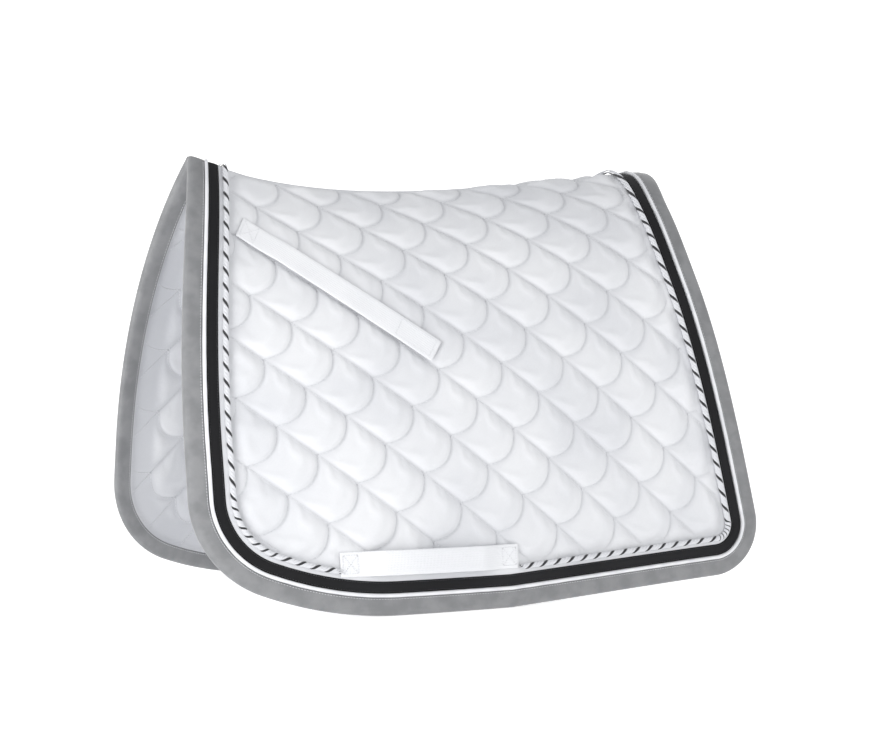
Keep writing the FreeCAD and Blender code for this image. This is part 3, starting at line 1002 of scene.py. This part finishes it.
    def _cover_height(self) -> Array:
        """Height of the cover over the middle of the sheet."""
        inner = self.trim_inset
        quilted = self._seam_height(self.inset) + self.puff * self.height
        for level, areas in ((self.sewn_level, KEEPER.end_areas() + STRAP.sewn_areas()),
                             (self.strap_level, [STRAP.free_area()])):
            pressed = self._pressed(areas)
            quilted = np.where(quilted > level, quilted + (level - quilted) * pressed, quilted)
        trim = smooth_step(inner - 0.5, inner + 2.5, self.inset)
        return self.trim_level + (quilted - self.trim_level) * trim

    def _lining_height(self) -> Array:
        """Height of the lining below the middle of the sheet, as a negative number."""
        quilted = self.seam_level + self.lining_share * self.puff * self.height
        flat = np.maximum(1.0 - smooth_step(18.0, 23.0, self.inset),
                          1.0 - smooth_step(12.0, 16.0, self.s))
        return -(quilted + (self.trim_level - quilted) * flat)

    def _skin(self, stem: str, height: Array, finish: Finish) -> None:
        """Close one padded cloth: its face, its back at the middle of the sheet, and its rim.

        Args:
            stem: cover or lining.
            height: Height of its face.
            finish: Its finish.
        """
        x = self.x - self.side.sign * self.shift[:, 0]
        s = np.maximum(self.s + np.where(self.s > 0.0, self.shift[:, 1], 0.0), 0.0)
        way = 1.0 if stem == "cover" else -1.0
        place = self.room.surface.place
        face = place(self.side, x, s, height)
        back = place(self.side, self.x, self.s, np.full_like(height, 0.15 * way))
        count = len(face)
        a, b = self.border[:, 0], self.border[:, 1]
        rim = np.stack([b, a, a + count, b + count], -1)
        quads = np.concatenate([self.quads, self.quads[:, ::-1] + count, rim])
        # The puff goes to the material with the cloth place, which paints shade into the seams with
        # it.
        puff = np.clip(np.abs(height) / (self.seam_level + self.puff), 0.0, 1.0)
        cloth = np.stack([self.u, self.v, puff], -1)
        piece = make_mesh(f"{self.side.word}_quilt_{stem}", np.concatenate([face, back]),
                          quads, cloth=np.concatenate([cloth, cloth]))
        word = self.side.word
        nodes = [f"{word}_top_{stem}", f"{word}_flap_{stem}"]
        if stem == "cover":
            nodes += [f"{word}_top_wadding", f"{word}_flap_wadding"]
        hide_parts(*nodes)
        self.room.dress(piece, finish)
        self.room.hang(piece, self.side)
        log.info("%s: %d vertices", piece.name, len(piece.data.vertices))

    def _stitch(self, stem: str, way: float, finish: Finish) -> None:
        """Thread along every quilting seam, a stitch to each part of a cell.

        Args:
            stem: cover or lining.
            way: 1 on the cover, -1 on the lining.
            finish: Thread.
        """
        p, q = self.pattern.reach(self.cloth_half, self.cloth_depth)
        whole = {name: a[np.abs(a - np.round(a)) < 1e-6] for name, a in (("p", p), ("q", q))}
        runs = []
        for fixed, free in ((whole["p"], q), (whole["q"], p)):
            a, b = np.meshgrid(fixed, free[:-1], indexing="ij")
            step = 1.0 / self.pattern.parts
            begin, end = b + 0.1 * step, b + 0.9 * step
            pair = ((a, begin), (a, end)) if free is q else ((begin, a), (end, a))
            runs.append([np.stack(self.pattern.flat(*m), -1).reshape(-1, 2) for m in pair])
        starts, ends = (np.concatenate([r[i] for r in runs]) for i in (0, 1))
        surface = self.room.surface
        places = []
        for cloth in (starts, ends):
            x = -self.side.sign * cloth[:, 0]
            places.append((x, cloth[:, 1] - surface.spine_fall(x)))
        (x0, s0), (x1, s1) = places
        inside = (np.abs(x0) < 340.0) & (s0 > 5.0) & (s1 > 5.0) & (s0 < 590.0)
        x0, s0, x1, s1 = (a[inside] for a in (x0, s0, x1, s1))
        centre = surface.place(self.side, x0, s0, 0.0)
        inset = self.room.edge.inset_of(x0, centre[:, 2])
        limit = self.trim_inset + 2.0 if stem == "cover" else 24.0
        inside = (inset > limit) & (s0 > (5.0 if stem == "cover" else 17.0))
        x0, s0, x1, s1, inset = (a[inside] for a in (x0, s0, x1, s1, inset))
        low = 0.25 + (self._seam_height(inset) if stem == "cover" else self.seam_level)
        a = surface.place(self.side, x0, s0, way * low)
        b = surface.place(self.side, x1, s1, way * low)
        up = unit(surface.place(self.side, x0, s0, way * (low + 1.0)) - a)
        piece = make_stitches(f"{self.side.word}_{stem}_stitching", a, b, up, 0.42)
        self.room.dress(piece, finish)
        self.room.hang(piece, self.side)
        log.info("%s: %d stitches", piece.name, len(a))


@dataclass(frozen=True)
class Blowing:
    """Cloth run on a flat sheet held along its seams."""

    scale: float = 0.01       # simulated metres to the millimetre
    slack: float = 0.012
    pressure: float = 0.2
    frames: int = 20

    def run(self, flat: Array, quads: Array, sewn: Array) -> Array:
        """Blow the sheet up and give its places back.

        Args:
            flat: Places in millimetres, already a little domed.
            quads: Faces.
            sewn: Which vertices are held.

        Returns:
            Places in millimetres after the last frame.
        """
        piece = make_mesh("blown_sheet", flat * self.scale / MM, quads, closed=False)
        group = piece.vertex_groups.new(name="sewn")
        group.add(np.flatnonzero(sewn).tolist(), 1.0, "REPLACE")
        cloth = piece.modifiers.new("Cloth", "CLOTH")
        settings = cloth.settings
        settings.vertex_group_mass = "sewn"
        settings.quality = 5
        settings.mass = 0.2
        settings.tension_stiffness = settings.compression_stiffness = 15.0
        settings.shear_stiffness = 5.0
        settings.bending_stiffness = 1.5
        settings.use_pressure = True
        settings.uniform_pressure_force = self.pressure
        settings.shrink_min = -self.slack
        settings.shrink_max = -self.slack
        settings.effector_weights.gravity = 0.0
        cloth.point_cache.frame_start = 1
        cloth.point_cache.frame_end = self.frames
        scene = bpy.context.scene
        for number in range(1, self.frames + 1):
            scene.frame_set(number)
        shown = piece.evaluated_get(bpy.context.evaluated_depsgraph_get())
        places = np.empty(len(flat) * 3, np.float32)
        shown.data.vertices.foreach_get("co", places)
        mesh = piece.data
        bpy.data.objects.remove(piece)
        bpy.data.meshes.remove(mesh)
        scene.frame_set(1)
        return places.reshape(-1, 3).astype(float) / self.scale


# ---------------------------------------------------------------- edge trims


@dataclass
class EdgeTrims:
    """Binding, piping, ribbon and twisted cord of one side, from seam to seam."""

    side: Side
    room: Workroom
    step: float = 2.4            # distance between rings
    binding: float = 19.0
    piping_inset: float = 21.0
    piping_radius: float = 2.0
    ribbon: tuple[float, float] = (23.2, 35.4)
    cord_inset: float = 42.2
    cord_radius: float = 3.25
    cord_pitch: float = 17.0

    def build(self) -> None:
        """Make the four trims with their stitching."""
        self._binding()
        self._piping()
        self._ribbon()
        self._cord()

    def _nodes(self, stem: str) -> list[str]:
        """CAD nodes that a trim of this side stands for."""
        word = self.side.word
        flaps = ([f"{word}_front_cord", f"{word}_rear_cord"] if stem == "cord"
                 else [f"{word}_flap_{stem}"])
        return flaps + [f"front_arch_{stem}", f"rear_arch_{stem}"]

    def _finish(self, piece: bpy.types.Object, finish: Finish, stem: str | None = None) -> None:
        """Dress a trim, bake its transform and, when a stem is given, hide the CAD nodes it stands
        for.
        """
        if stem:
            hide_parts(*self._nodes(stem))
        self.room.dress(piece, finish)
        self.room.hang(piece, self.side)
        log.info("%s: %d faces", piece.name, len(piece.data.polygons))

    def _along(self, step: float | None = None) -> Array:
        """Distances of the rings along the edge."""
        length = self.room.edge.length
        return np.linspace(0.0, length, int(length / (step or self.step)) + 1)

    def _swept(self, name: str, profile: Callable[[Array], tuple[Array, Array, Array]],
               along: Array) -> bpy.types.Object:
        """Carry a profile along the edge.

        Args:
            name: Name of the piece.
            profile: Gives inset, height and distance round the profile for each ring.
            along: Distances of the rings.

        Returns:
            The new piece.
        """
        inset, n, around = profile(along)
        shape = np.broadcast_shapes(inset.shape, n.shape)
        where = np.broadcast_to(along[:, None], shape)
        points = self.room.edge.place(self.side, where, inset, n)
        cloth = np.stack([where, np.broadcast_to(around, shape), np.zeros(shape)], -1)
        return make_sweep(name, points, cloth)

    def _binding(self) -> None:
        """Satin folded round the edge: a U of cloth with small cross puckers."""
        outer = np.array([(19.0, 4.75), (18.9, 5.45), (17.6, 5.75), (14.5, 5.95), (10.5, 6.05),
                          (6.5, 5.9), (3.2, 5.2), (1.1, 3.6), (0.1, 1.3), (0.1, -1.3),
                          (1.1, -3.6), (3.2, -5.2), (6.5, -5.9), (10.5, -6.05), (14.5, -5.95),
                          (17.6, -5.75), (18.9, -5.45), (19.0, -4.75)])
        inner = np.array([(12.0, -4.0), (4.0, -3.6), (1.4, 0.0), (4.0, 3.6), (12.0, 4.0)])
        profile = np.concatenate([outer, inner])
        around = np.concatenate([[0.0], np.cumsum(np.hypot(*np.diff(profile, axis=0).T))])

        def shape(along: Array) -> tuple[Array, Array, Array]:
            a, r = along[:, None], around[None]
            pucker = (np.sin(a / 3.1 + 0.35 * r + 1.3 * np.sin(a / 41.0))
                      * (0.6 + 0.4 * np.sin(a / 23.0)) + 0.5 * np.sin(a / 7.7 - 0.2 * r))
            free = np.clip(np.minimum(profile[:, 0] - 1.0, 18.0 - profile[:, 0]) / 6.0, 0, 1)
            wave = 0.13 * pucker * free[None] * np.sign(profile[None, :, 1])
            wave[:, len(outer):] = 0.0
            inset = np.broadcast_to(profile[None, :, 0], wave.shape)
            return inset, profile[None, :, 1] + wave, r

        piece = self._swept(f"{self.side.word}_binding", shape, self._along(2.0))
        self._finish(piece, Finish.BINDING, "binding")
        self._row(f"{self.side.word}_binding_stitching", 17.3, 5.85, 1.0, Finish.THREAD, 3.2)
        self._row(f"{self.side.word}_binding_inner_stitching", 17.3, 5.85, -1.0,
                  Finish.THREAD, 3.2)

    def _piping(self) -> None:
        """Round piping between the binding and the ribbon."""
        turn = np.linspace(0.0, math.tau, 11)[:-1][None]

        def shape(along: Array) -> tuple[Array, Array, Array]:
            radius = self.piping_radius * (1.0 + 0.03 * np.sin(along[:, None] / 4.3))
            return (self.piping_inset + radius * np.cos(turn), 6.1 + radius * np.sin(turn),
                    turn * self.piping_radius)

        piece = self._swept(f"{self.side.word}_piping", shape, self._along())
        self._finish(piece, Finish.PIPING, "piping")

    def _ribbon(self) -> None:
        """Flat ribbon, sewn down along both sides."""
        low, high = self.ribbon
        inset = np.concatenate([np.linspace(low, high, 9), np.linspace(high, low, 9)])[None]
        rise = np.array([0.25, 0.75, 0.85, 1.0, 1.0, 1.0, 0.85, 0.75, 0.25])
        n = np.concatenate([4.7 + rise, np.full(9, 4.2)])[None]

        def shape(along: Array) -> tuple[Array, Array, Array]:
            wave = 0.08 * np.sin(along[:, None] / 9.0 + inset * 0.4) * (n > 5.5)
            return np.broadcast_to(inset, wave.shape), n + wave, inset

        piece = self._swept(f"{self.side.word}_ribbon", shape, self._along())
        self._finish(piece, Finish.RIBBON, "ribbon")
        parts = [self._stitches("row", inset, 5.62, 1.0, 3.0) for inset in (24.6, 34.0)]
        rows = join(f"{self.side.word}_ribbon_stitching", parts)
        self._finish(rows, Finish.DARK_THREAD)

    def _stitches(self, name: str, inset: float, n: float, way: float,
                  pitch: float) -> bpy.types.Object:
        """One row of stitches parallel to the edge."""
        edge = self.room.edge
        along = np.arange(4.0, edge.length - 4.0, pitch)
        a, b = (edge.place(self.side, along + shift * pitch, inset, way * n)
                for shift in (-0.36, 0.36))
        up = unit(edge.place(self.side, along, inset, way * (n + 1.0))
                  - edge.place(self.side, along, inset, way * n))
        return make_stitches(name, a, b, up, 0.4)

    def _row(self, name: str, inset: float, n: float, way: float, finish: Finish,
             pitch: float) -> None:
        """One finished row of stitches as a piece of its own."""
        self._finish(self._stitches(name, inset, n, way, pitch), finish)

    def _runs(self) -> list[tuple[float, float]]:
        """The cord stops at the girth keeper and starts again behind it."""
        edge = self.room.edge
        front, rear = (edge.along_at(x, self.cord_inset)
                       for x in (KEEPER.front, KEEPER.front + KEEPER.length))
        return [(0.0, front - 1.0), (rear + 1.0, edge.length)]

    def _cord(self) -> None:
        """Four strands laid round each other, one of them black."""
        word = self.side.word
        white, black = [], []
        for number, (begin, end) in enumerate(self._runs()):
            for strand in range(4):
                made = self._strand(f"strand_{number}_{strand}", begin, end, strand)
                (black if strand == 0 else white).append(made)
        self._finish(join(f"{word}_cord_white", white), Finish.WHITE_CORD, "cord")
        self._finish(join(f"{word}_cord_black", black), Finish.BLACK_CORD)

    def _strand(self, name: str, begin: float, end: float, number: int) -> bpy.types.Object:
        """One strand: a tube whose centre winds round the cord's line.

        The centre is the line plus a turning arm, and the tube's rings stand square to it.
        """
        along = np.linspace(begin, end, int((end - begin) / 1.7) + 2)
        radius = self.cord_radius * 0.42
        arm = self.cord_radius - radius
        level = 4.9 + self.cord_radius
        rows = np.arange(begin - 2.0, end + 4.0, 4.0).clip(0.0, self.room.edge.length)
        rows = np.unique(rows)
        line, up, across = self.room.edge.frames(self.side, rows, self.cord_inset, level)
        centre, up, across = (np.stack([np.interp(along, rows, a[:, i]) for i in range(3)], -1)
                              for a in (line, up, across))
        turn = (along * (math.tau / self.cord_pitch) + number * math.pi / 2)[:, None]
        out = unit(across * np.cos(turn) + up * np.sin(turn))
        middle = centre + arm * out
        tangent = unit(np.gradient(middle, axis=0))
        side = unit(np.cross(tangent, out))
        ring = np.linspace(0.0, math.tau, 9)[:-1]
        taper = (smooth_step(-1.0, 7.0, along - begin) * smooth_step(-1.0, 7.0, end - along))
        thick = radius * (0.35 + 0.65 * taper)[:, None, None]
        points = (middle[:, None] + thick * (np.cos(ring)[None, :, None] * out[:, None]
                                             + np.sin(ring)[None, :, None] * side[:, None]))
        cloth = np.stack(np.broadcast_arrays(along[:, None], ring[None] * radius,
                                             np.zeros((1, 1))), -1)
        return make_sweep(name, points, cloth)


# ---------------------------------------------------------------- webbing


def webbing_strip(name: str, centre: Array, across: Array, up: Array, width: float,
                  thickness: float) -> bpy.types.Object:
    """Flat webbing with rounded selvedges along a line.

    Args:
        name: Name of the piece.
        centre: Middle of the webbing at each ring.
        across: Direction of its width.
        up: Direction of its thickness.
        width: Width.
        thickness: Thickness.

    Returns:
        The new piece.
    """
    share = np.array([-1.0, -0.985, -0.93, -0.6, -0.2, 0.2, 0.6, 0.93, 0.985, 1.0])
    crown = np.array([0.0, 0.65, 1.0, 0.9, 0.88, 0.88, 0.9, 1.0, 0.65, 0.0])
    flat = np.concatenate([share, share[-2:0:-1]]) * 0.5 * width
    high = np.concatenate([crown, -crown[-2:0:-1]]) * 0.5 * thickness
    points = (centre[:, None] + across[:, None] * flat[None, :, None]
              + up[:, None] * high[None, :, None])
    length = np.concatenate([[0.0], np.cumsum(np.linalg.norm(np.diff(centre, axis=0), axis=1))])
    cloth = np.stack(np.broadcast_arrays(length[:, None], flat[None], np.zeros((1, 1))), -1)
    return make_sweep(name, points, cloth)


@dataclass
class GirthKeeper:
    """Webbing loop low on each flap, sewn down at both ends."""

    front: float = -184.0
    length: float = 202.0
    low: float = 41.5
    width: float = 26.0
    tab: float = 22.0
    thickness: float = 1.6
    bow: float = 9.0

    def end_areas(self) -> list[tuple]:
        """Centre, direction and half sizes of the sewn ends, seen from the side."""
        z = self.low + 0.5 * self.width
        ends = (self.front + 0.5 * self.tab, self.front + self.length - 0.5 * self.tab)
        return [((x, z), (1.0, 0.0), (0.5 * self.tab, 0.5 * self.width)) for x in ends]

    def level(self, x: Array) -> Array:
        """Height of the webbing's middle: sewn down at the ends and bowed between them."""
        rise = (smooth_step(self.front + self.tab - 2.0, self.front + self.tab + 26.0, x)
                * smooth_step(self.front + self.tab - 2.0, self.front + self.tab + 26.0,
                              2 * self.front + self.length - x))
        return 5.5 + self.bow * rise

    def build(self, side: Side, room: Workroom) -> None:
        """Make the webbing and the stitched boxes at its ends.

        Args:
            side: Side of the pad.
            room: Shared surface and finishes.
        """
        surface = room.surface
        x = np.linspace(self.front, self.front + self.length, 90)
        z = self.low + 0.5 * self.width
        s = surface.s_at(x, np.full_like(x, z))
        n = self.level(x)
        centre = surface.place(side, x, s, n)
        up = unit(surface.place(side, x, s, n + 1.0) - centre)
        tangent = unit(np.gradient(centre, axis=0))
        across = unit(np.cross(tangent, up))
        up = unit(np.cross(across, tangent))
        piece = webbing_strip(f"{side.word}_girth_keeper_webbing", centre, across, up,
                              self.width, self.thickness)
        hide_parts(f"{side.word}_girth_keeper")
        room.dress(piece, Finish.WEBBING)
        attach(piece, side.word + "_flap")
        starts, ends = [], []
        for (cx, cz), _, (half_x, half_z) in self.end_areas():
            box = Sewing.box(half_x - 3.0, half_z - 3.5, 2.7)
            for target, pick in ((starts, 0), (ends, 1)):
                target.append(box[pick] + (cx, cz))
        flat = [np.concatenate(a) for a in (starts, ends)]
        level = 5.5 + 0.5 * self.thickness + 0.1
        stitches = Sewing.on_surface(f"{side.word}_keeper_box_stitching", side, room, flat, level)
        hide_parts(f"{side.word}_keeper_stitching")
        room.dress(stitches, Finish.THREAD)
        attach(stitches, side.word + "_flap")
        log.info("%s girth keeper", side.word)


class Sewing:
    """Rows of stitches given on the flat, seen from the side."""

    @staticmethod
    def line(start: tuple[float, float], end: tuple[float, float],
             pitch: float) -> tuple[Array, Array]:
        """Ends of the stitches along a straight row."""
        a, b = np.array(start), np.array(end)
        count = max(1, int(round(np.linalg.norm(b - a) / pitch)))
        k = np.arange(count)[:, None]
        return a + (b - a) * (k + 0.12) / count, a + (b - a) * (k + 0.88) / count

    @classmethod
    def box(cls, half_x: float, half_z: float, pitch: float) -> tuple[Array, Array]:
        """Ends of the stitches of a box with its two diagonals."""
        corners = [(-half_x, -half_z), (half_x, -half_z), (half_x, half_z), (-half_x, half_z)]
        rows = [cls.line(corners[i], corners[(i + 1) % 4], pitch) for i in range(4)]
        rows += [cls.line(corners[0], corners[2], pitch), cls.line(corners[1], corners[3], pitch)]
        return np.concatenate([r[0] for r in rows]), np.concatenate([r[1] for r in rows])

    @staticmethod
    def on_surface(name: str, side: Side, room: Workroom, flat: Sequence[Array],
                   level: float) -> bpy.types.Object:
        """Put stitches given by x and z onto the pad at a height over the sheet."""
        surface = room.surface
        ends = []
        for xz in flat:
            s = surface.s_at(xz[:, 0], xz[:, 1])
            ends.append(surface.place(side, xz[:, 0], s, level))
        s = surface.s_at(flat[0][:, 0], flat[0][:, 1])
        up = unit(surface.place(side, flat[0][:, 0], s, level + 1.0) - ends[0])
        return make_stitches(name, ends[0], ends[1], up, 0.5)


@dataclass
class BilletStrap:
    """Strap sewn down in front and held at its free end by hook and loop patches."""

    hinge: tuple[float, float] = (-228.3, 389.0)
    angle: float = 35.0
    length: float = 208.0
    width: float = 26.0
    anchor: float = 22.0
    gap: float = 1.1
    thickness: float = 1.6
    level: float = 7.8
    patch: float = 46.0

    def at(self, distance: Array, across: Array) -> tuple[Array, Array]:
        """x and z of a place along and across the strap, seen from the side."""
        c, s = math.cos(math.radians(self.angle)), math.sin(math.radians(self.angle))
        return (self.hinge[0] + distance * c + across * s,
                self.hinge[1] - distance * s + across * c)

    def sewn_areas(self) -> list[tuple]:
        """Centre, direction and half sizes of the anchor and of the patch."""
        c, s = math.cos(math.radians(self.angle)), math.sin(math.radians(self.angle))
        spans = ((-self.gap - self.anchor, -self.gap),
                 (self.length - 2.0 - self.patch, self.length - 2.0))
        return [(self.at(0.5 * (a + b), 0.0), (c, -s), (0.5 * (b - a), 0.5 * self.width - 2.0))
                for a, b in spans]

    def free_area(self) -> tuple:
        """The same for the moving length."""
        c, s = math.cos(math.radians(self.angle)), math.sin(math.radians(self.angle))
        return self.at(0.5 * self.length, 0.0), (c, -s), (0.5 * self.length, 0.5 * self.width)

    def _strip(self, name: str, side: Side, room: Workroom, span: tuple[float, float],
               width: float, thickness: float, level: Array) -> bpy.types.Object:
        """Webbing or tape along the strap between two distances from the hinge."""
        surface = room.surface
        distance = np.linspace(*span, max(8, int((span[1] - span[0]) / 2.2)))
        rows = []
        for across in (-1.0, 0.0, 1.0):
            x, z = self.at(distance, across)
            rows.append(surface.place(side, x, surface.s_at(x, z), level))
        across = unit(rows[2] - rows[0])
        tangent = unit(np.gradient(rows[1], axis=0))
        up = unit(np.cross(tangent, across))
        x, z = self.at(distance, 0.0)
        off = surface.place(side, x, surface.s_at(x, z), np.asarray(level) + 1.0) - rows[1]
        up = up * np.sign((up * off).sum(-1, keepdims=True))
        return webbing_strip(name, rows[1], across, up, width, thickness)

    def build(self, side: Side, room: Workroom) -> None:
        """Make the strap, its patches and its stitching.

        Args:
            side: Side of the pad.
            room: Shared surface and finishes.
        """
        word = side.word
        span = (-self.gap - self.anchor, self.length)
        distance = np.linspace(*span, max(8, int((span[1] - span[0]) / 2.2)))
        sewn = smooth_step(0.0, 26.0, distance)
        level = 5.6 + (self.level - 5.6) * sewn
        strap = self._strip(f"{word}_billet_webbing", side, room, span, self.width,
                            self.thickness, level)
        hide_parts(f"{word}_strap_anchor", f"{word}_billet_strap")
        room.dress(strap, Finish.WEBBING)
        points = [room.surface.place(side, x, room.surface.s_at(x, z), 7.0) * MM
                  for x, z in (self.at(np.array(d), np.array(0.0)) for d in (-3.0, 3.0))]
        self._bend(strap, side, points)
        ends = (self.length - 2.0 - self.patch, self.length - 2.0)
        loop = self._strip(f"{word}_loop_tape", side, room, ends, self.width - 4.0, 1.0,
                           np.asarray(5.2))
        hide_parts(f"{word}_loop_patch")
        room.dress(loop, Finish.PILE)
        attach(loop, word + "_flap")
        hook = self._strip(f"{word}_hook_tape", side, room, ends, self.width - 4.0, 1.0,
                           np.asarray(6.5))
        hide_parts(f"{word}_hook_patch")
        room.dress(hook, Finish.PILE)
        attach(hook, word + "_strap")
        self._sew(side, room)
        log.info("%s billet strap", word)

    @staticmethod
    def _bend(piece: bpy.types.Object, side: Side, points: Sequence[Array]) -> None:
        """Bake a piece of the strap's transform into its mesh; it is not bent at its hinge."""
        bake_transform(piece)

    def _sew(self, side: Side, room: Workroom) -> None:
        """Box of stitches on the anchor and a frame of stitches over the patch."""
        word = side.word
        places = []
        for begin, end, crossed in ((-20.0, -4.0, True), (self.length - 46.0,
                                                          self.length - 5.0, False)):
            half_x, half_z = 0.5 * (end - begin), 0.5 * self.width - 3.5
            if crossed:
                starts, ends = Sewing.box(half_x, half_z, 2.7)
            else:
                corners = [(-half_x, -half_z), (half_x, -half_z), (half_x, half_z),
                           (-half_x, half_z)]
                rows = [Sewing.line(corners[i], corners[(i + 1) % 4], 3.0) for i in range(4)]
                starts = np.concatenate([r[0] for r in rows])
                ends = np.concatenate([r[1] for r in rows])
            middle = 0.5 * (begin + end)
            places.append([np.stack(self.at(m[:, 0] + middle, m[:, 1]), -1)
                           for m in (starts, ends)])
        anchor = Sewing.on_surface(f"{word}_anchor_stitching", side, room, places[0],
                                   5.6 + 0.5 * self.thickness + 0.1)
        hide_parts(f"{word}_strap_stitching")
        room.dress(anchor, Finish.THREAD)
        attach(anchor, word + "_flap")
        patch = Sewing.on_surface(f"{word}_patch_stitching", side, room, places[1],
                                  self.level + 0.5 * self.thickness + 0.05)
        room.dress(patch, Finish.THREAD)
        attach(patch, word + "_strap")


KEEPER = GirthKeeper()
STRAP = BilletStrap()


@dataclass
class SpineTape:
    """Tape over the seam of the two halves, on the lining side."""

    room: Workroom
    half_width: float = 12.0
    reach: tuple[float, float] = (-268.0, 254.0)
    low: float = 5.5
    thickness: float = 0.8

    def build(self) -> None:
        """Sweep a flat profile along the spine from side to side, with two rows of stitches."""
        surface = self.room.surface
        x = np.linspace(*self.reach, 190)
        share = np.linspace(-1.0, 1.0, 13)
        rows = []
        for n in (-self.low, -self.low + self.thickness):
            s = np.abs(share)[None] * self.half_width
            near = surface.place(Side.NEAR, x[:, None], s, n)
            far = surface.place(Side.FAR, x[:, None], s, n)
            row = np.where((share < 0.0)[None, :, None], near, far)
            row[:, len(share) // 2, 1] = 0.0
            rows.append(row)
        rings = np.concatenate([rows[0], rows[1][:, ::-1]], 1)
        across = np.concatenate([share, share[::-1]])[None] * self.half_width
        cloth = np.stack(np.broadcast_arrays(x[:, None], across, np.zeros((1, 1))), -1)
        piece = make_sweep("spine_tape", rings, cloth)
        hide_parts("spine_seam_tape")
        self.room.dress(piece, Finish.TAPE)
        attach(piece, "bridge")
        parts = []
        along = np.arange(self.reach[0] + 3.0, self.reach[1] - 3.0, 3.0)
        for side in Side:
            ends = [surface.place(side, along + shift, 9.6, -self.low - 0.1)
                    for shift in (-1.1, 1.1)]
            up = unit(surface.place(side, along, 9.6, -self.low - 1.1)
                      - surface.place(side, along, 9.6, -self.low - 0.1))
            parts.append(make_stitches("tape_row", ends[0], ends[1], up, 0.4))
        rows_piece = join("spine_tape_stitching", parts)
        self.room.dress(rows_piece, Finish.THREAD)
        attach(rows_piece, "bridge")
        log.info("spine tape")


# ---------------------------------------------------------------- studio


@dataclass(frozen=True)
class Studio:
    """White floor and room, one low soft light from the front left, and the camera."""

    azimuth: float = -25.07
    elevation: float = 2.71
    distance: float = 2.315
    target: tuple[float, float, float] = (0.001, 0.0, 0.22)
    lens: float = 83.7
    shift: tuple[float, float] = (0.008, 0.0319)
    light_azimuth: float = -66.0
    light_elevation: float = 2.0
    light_distance: float = 1.4
    light_size: float = 0.8
    light_power: float = 7.0
    white: tuple[float, float, float] = (1.0, 1.0, 1.0)
    ceiling: tuple[float, float, float] = (0.5, 0.504, 0.51)
    dimming: tuple[float, float] = (0.1, 0.6)      # heights between which the room gets dimmer
    room_strength: float = 1.35
    floor_size: float = 30000.0
    floor_colour: tuple[float, ...] = (0.85, 0.85, 0.85, 1.0)
    floor_glow: float = 0.6

    def build(self) -> None:
        """Set the scene."""
        self._camera()
        self._floor()
        self._room()
        self._light()

    def _aim(self, thing: bpy.types.Object, azimuth: float, elevation: float,
             distance: float) -> None:
        """Put a camera or a light at a distance from the pad, looking at it.

        Args:
            thing: Camera or light.
            azimuth: Degrees round from the near side.
            elevation: Degrees above the floor.
            distance: Metres from the target.
        """
        a, e = math.radians(azimuth), math.radians(elevation)
        way = np.array([math.sin(a) * math.cos(e), -math.cos(a) * math.cos(e), math.sin(e)])
        thing.location = np.array(self.target) + distance * way
        thing.rotation_euler = (math.radians(90.0 - elevation), 0.0, math.radians(azimuth))
        bpy.context.scene.collection.objects.link(thing)

    def _camera(self) -> None:
        """Camera a little above the floor, in front of the near flap."""
        data = bpy.data.cameras.new("camera")
        data.lens = self.lens
        data.sensor_width = 36.0
        data.shift_x, data.shift_y = self.shift
        camera = bpy.data.objects.new("camera", data)
        self._aim(camera, self.azimuth, self.elevation, self.distance)
        bpy.context.scene.camera = camera

    def _floor(self) -> None:
        """Plain pale floor, one large sheet that glows a little."""
        size = self.floor_size
        corners = np.array([(-size, -size, 0.0), (size, -size, 0.0), (size, size, 0.0),
                            (-size, size, 0.0)])
        floor = make_mesh("floor", corners, np.array([[0, 1, 2, 3]]), closed=False)
        floor.data.materials.append(Graph("pale_floor").finish(
            self.floor_colour, 0.7,
            fixed={"Emission Color": (*self.white, 1.0), "Emission Strength": self.floor_glow}))

    def _room(self) -> None:
        """White surroundings that get dimmer towards the ceiling."""
        scene = bpy.context.scene
        scene.view_settings.view_transform = "Standard"
        scene.world = bpy.data.worlds.new("pale_room")
        tree = NodeTree(scene.world)
        way = tree.node("ShaderNodeTexCoord").outputs["Generated"]
        height = tree.node("ShaderNodeSeparateXYZ", {}, {0: way}).outputs["Z"]
        low, high = self.dimming
        dim = tree.node("ShaderNodeMapRange", {},
                        {"Value": height, "From Min": low, "From Max": high})
        shade = tree.mix(dim.outputs["Result"], self.white, self.ceiling)
        room = tree.node("ShaderNodeBackground", {},
                         {"Color": shade, "Strength": self.room_strength})
        tree.node("ShaderNodeOutputWorld", {}, {"Surface": room.outputs[0]})

    def _light(self) -> None:
        """Square soft light."""
        data = bpy.data.lights.new("key_light", "AREA")
        data.size = self.light_size
        data.energy = self.light_power
        self._aim(bpy.data.objects.new("key_light", data), self.light_azimuth,
                  self.light_elevation, self.light_distance)


def main() -> None:
    """Build the pad in order: halves, spine tape, trims, keepers, straps, studio."""
    logging.basicConfig(level=logging.INFO, format="%(name)s: %(message)s")
    room = Workroom()
    for side in Side:
        QuiltHalf(side, room).build()
    SpineTape(room).build()
    for side in Side:
        EdgeTrims(side, room).build()
        KEEPER.build(side, room)
        STRAP.build(side, room)
    Studio().build()
    bpy.context.view_layer.update()


if __name__ == "__main__":
    main()
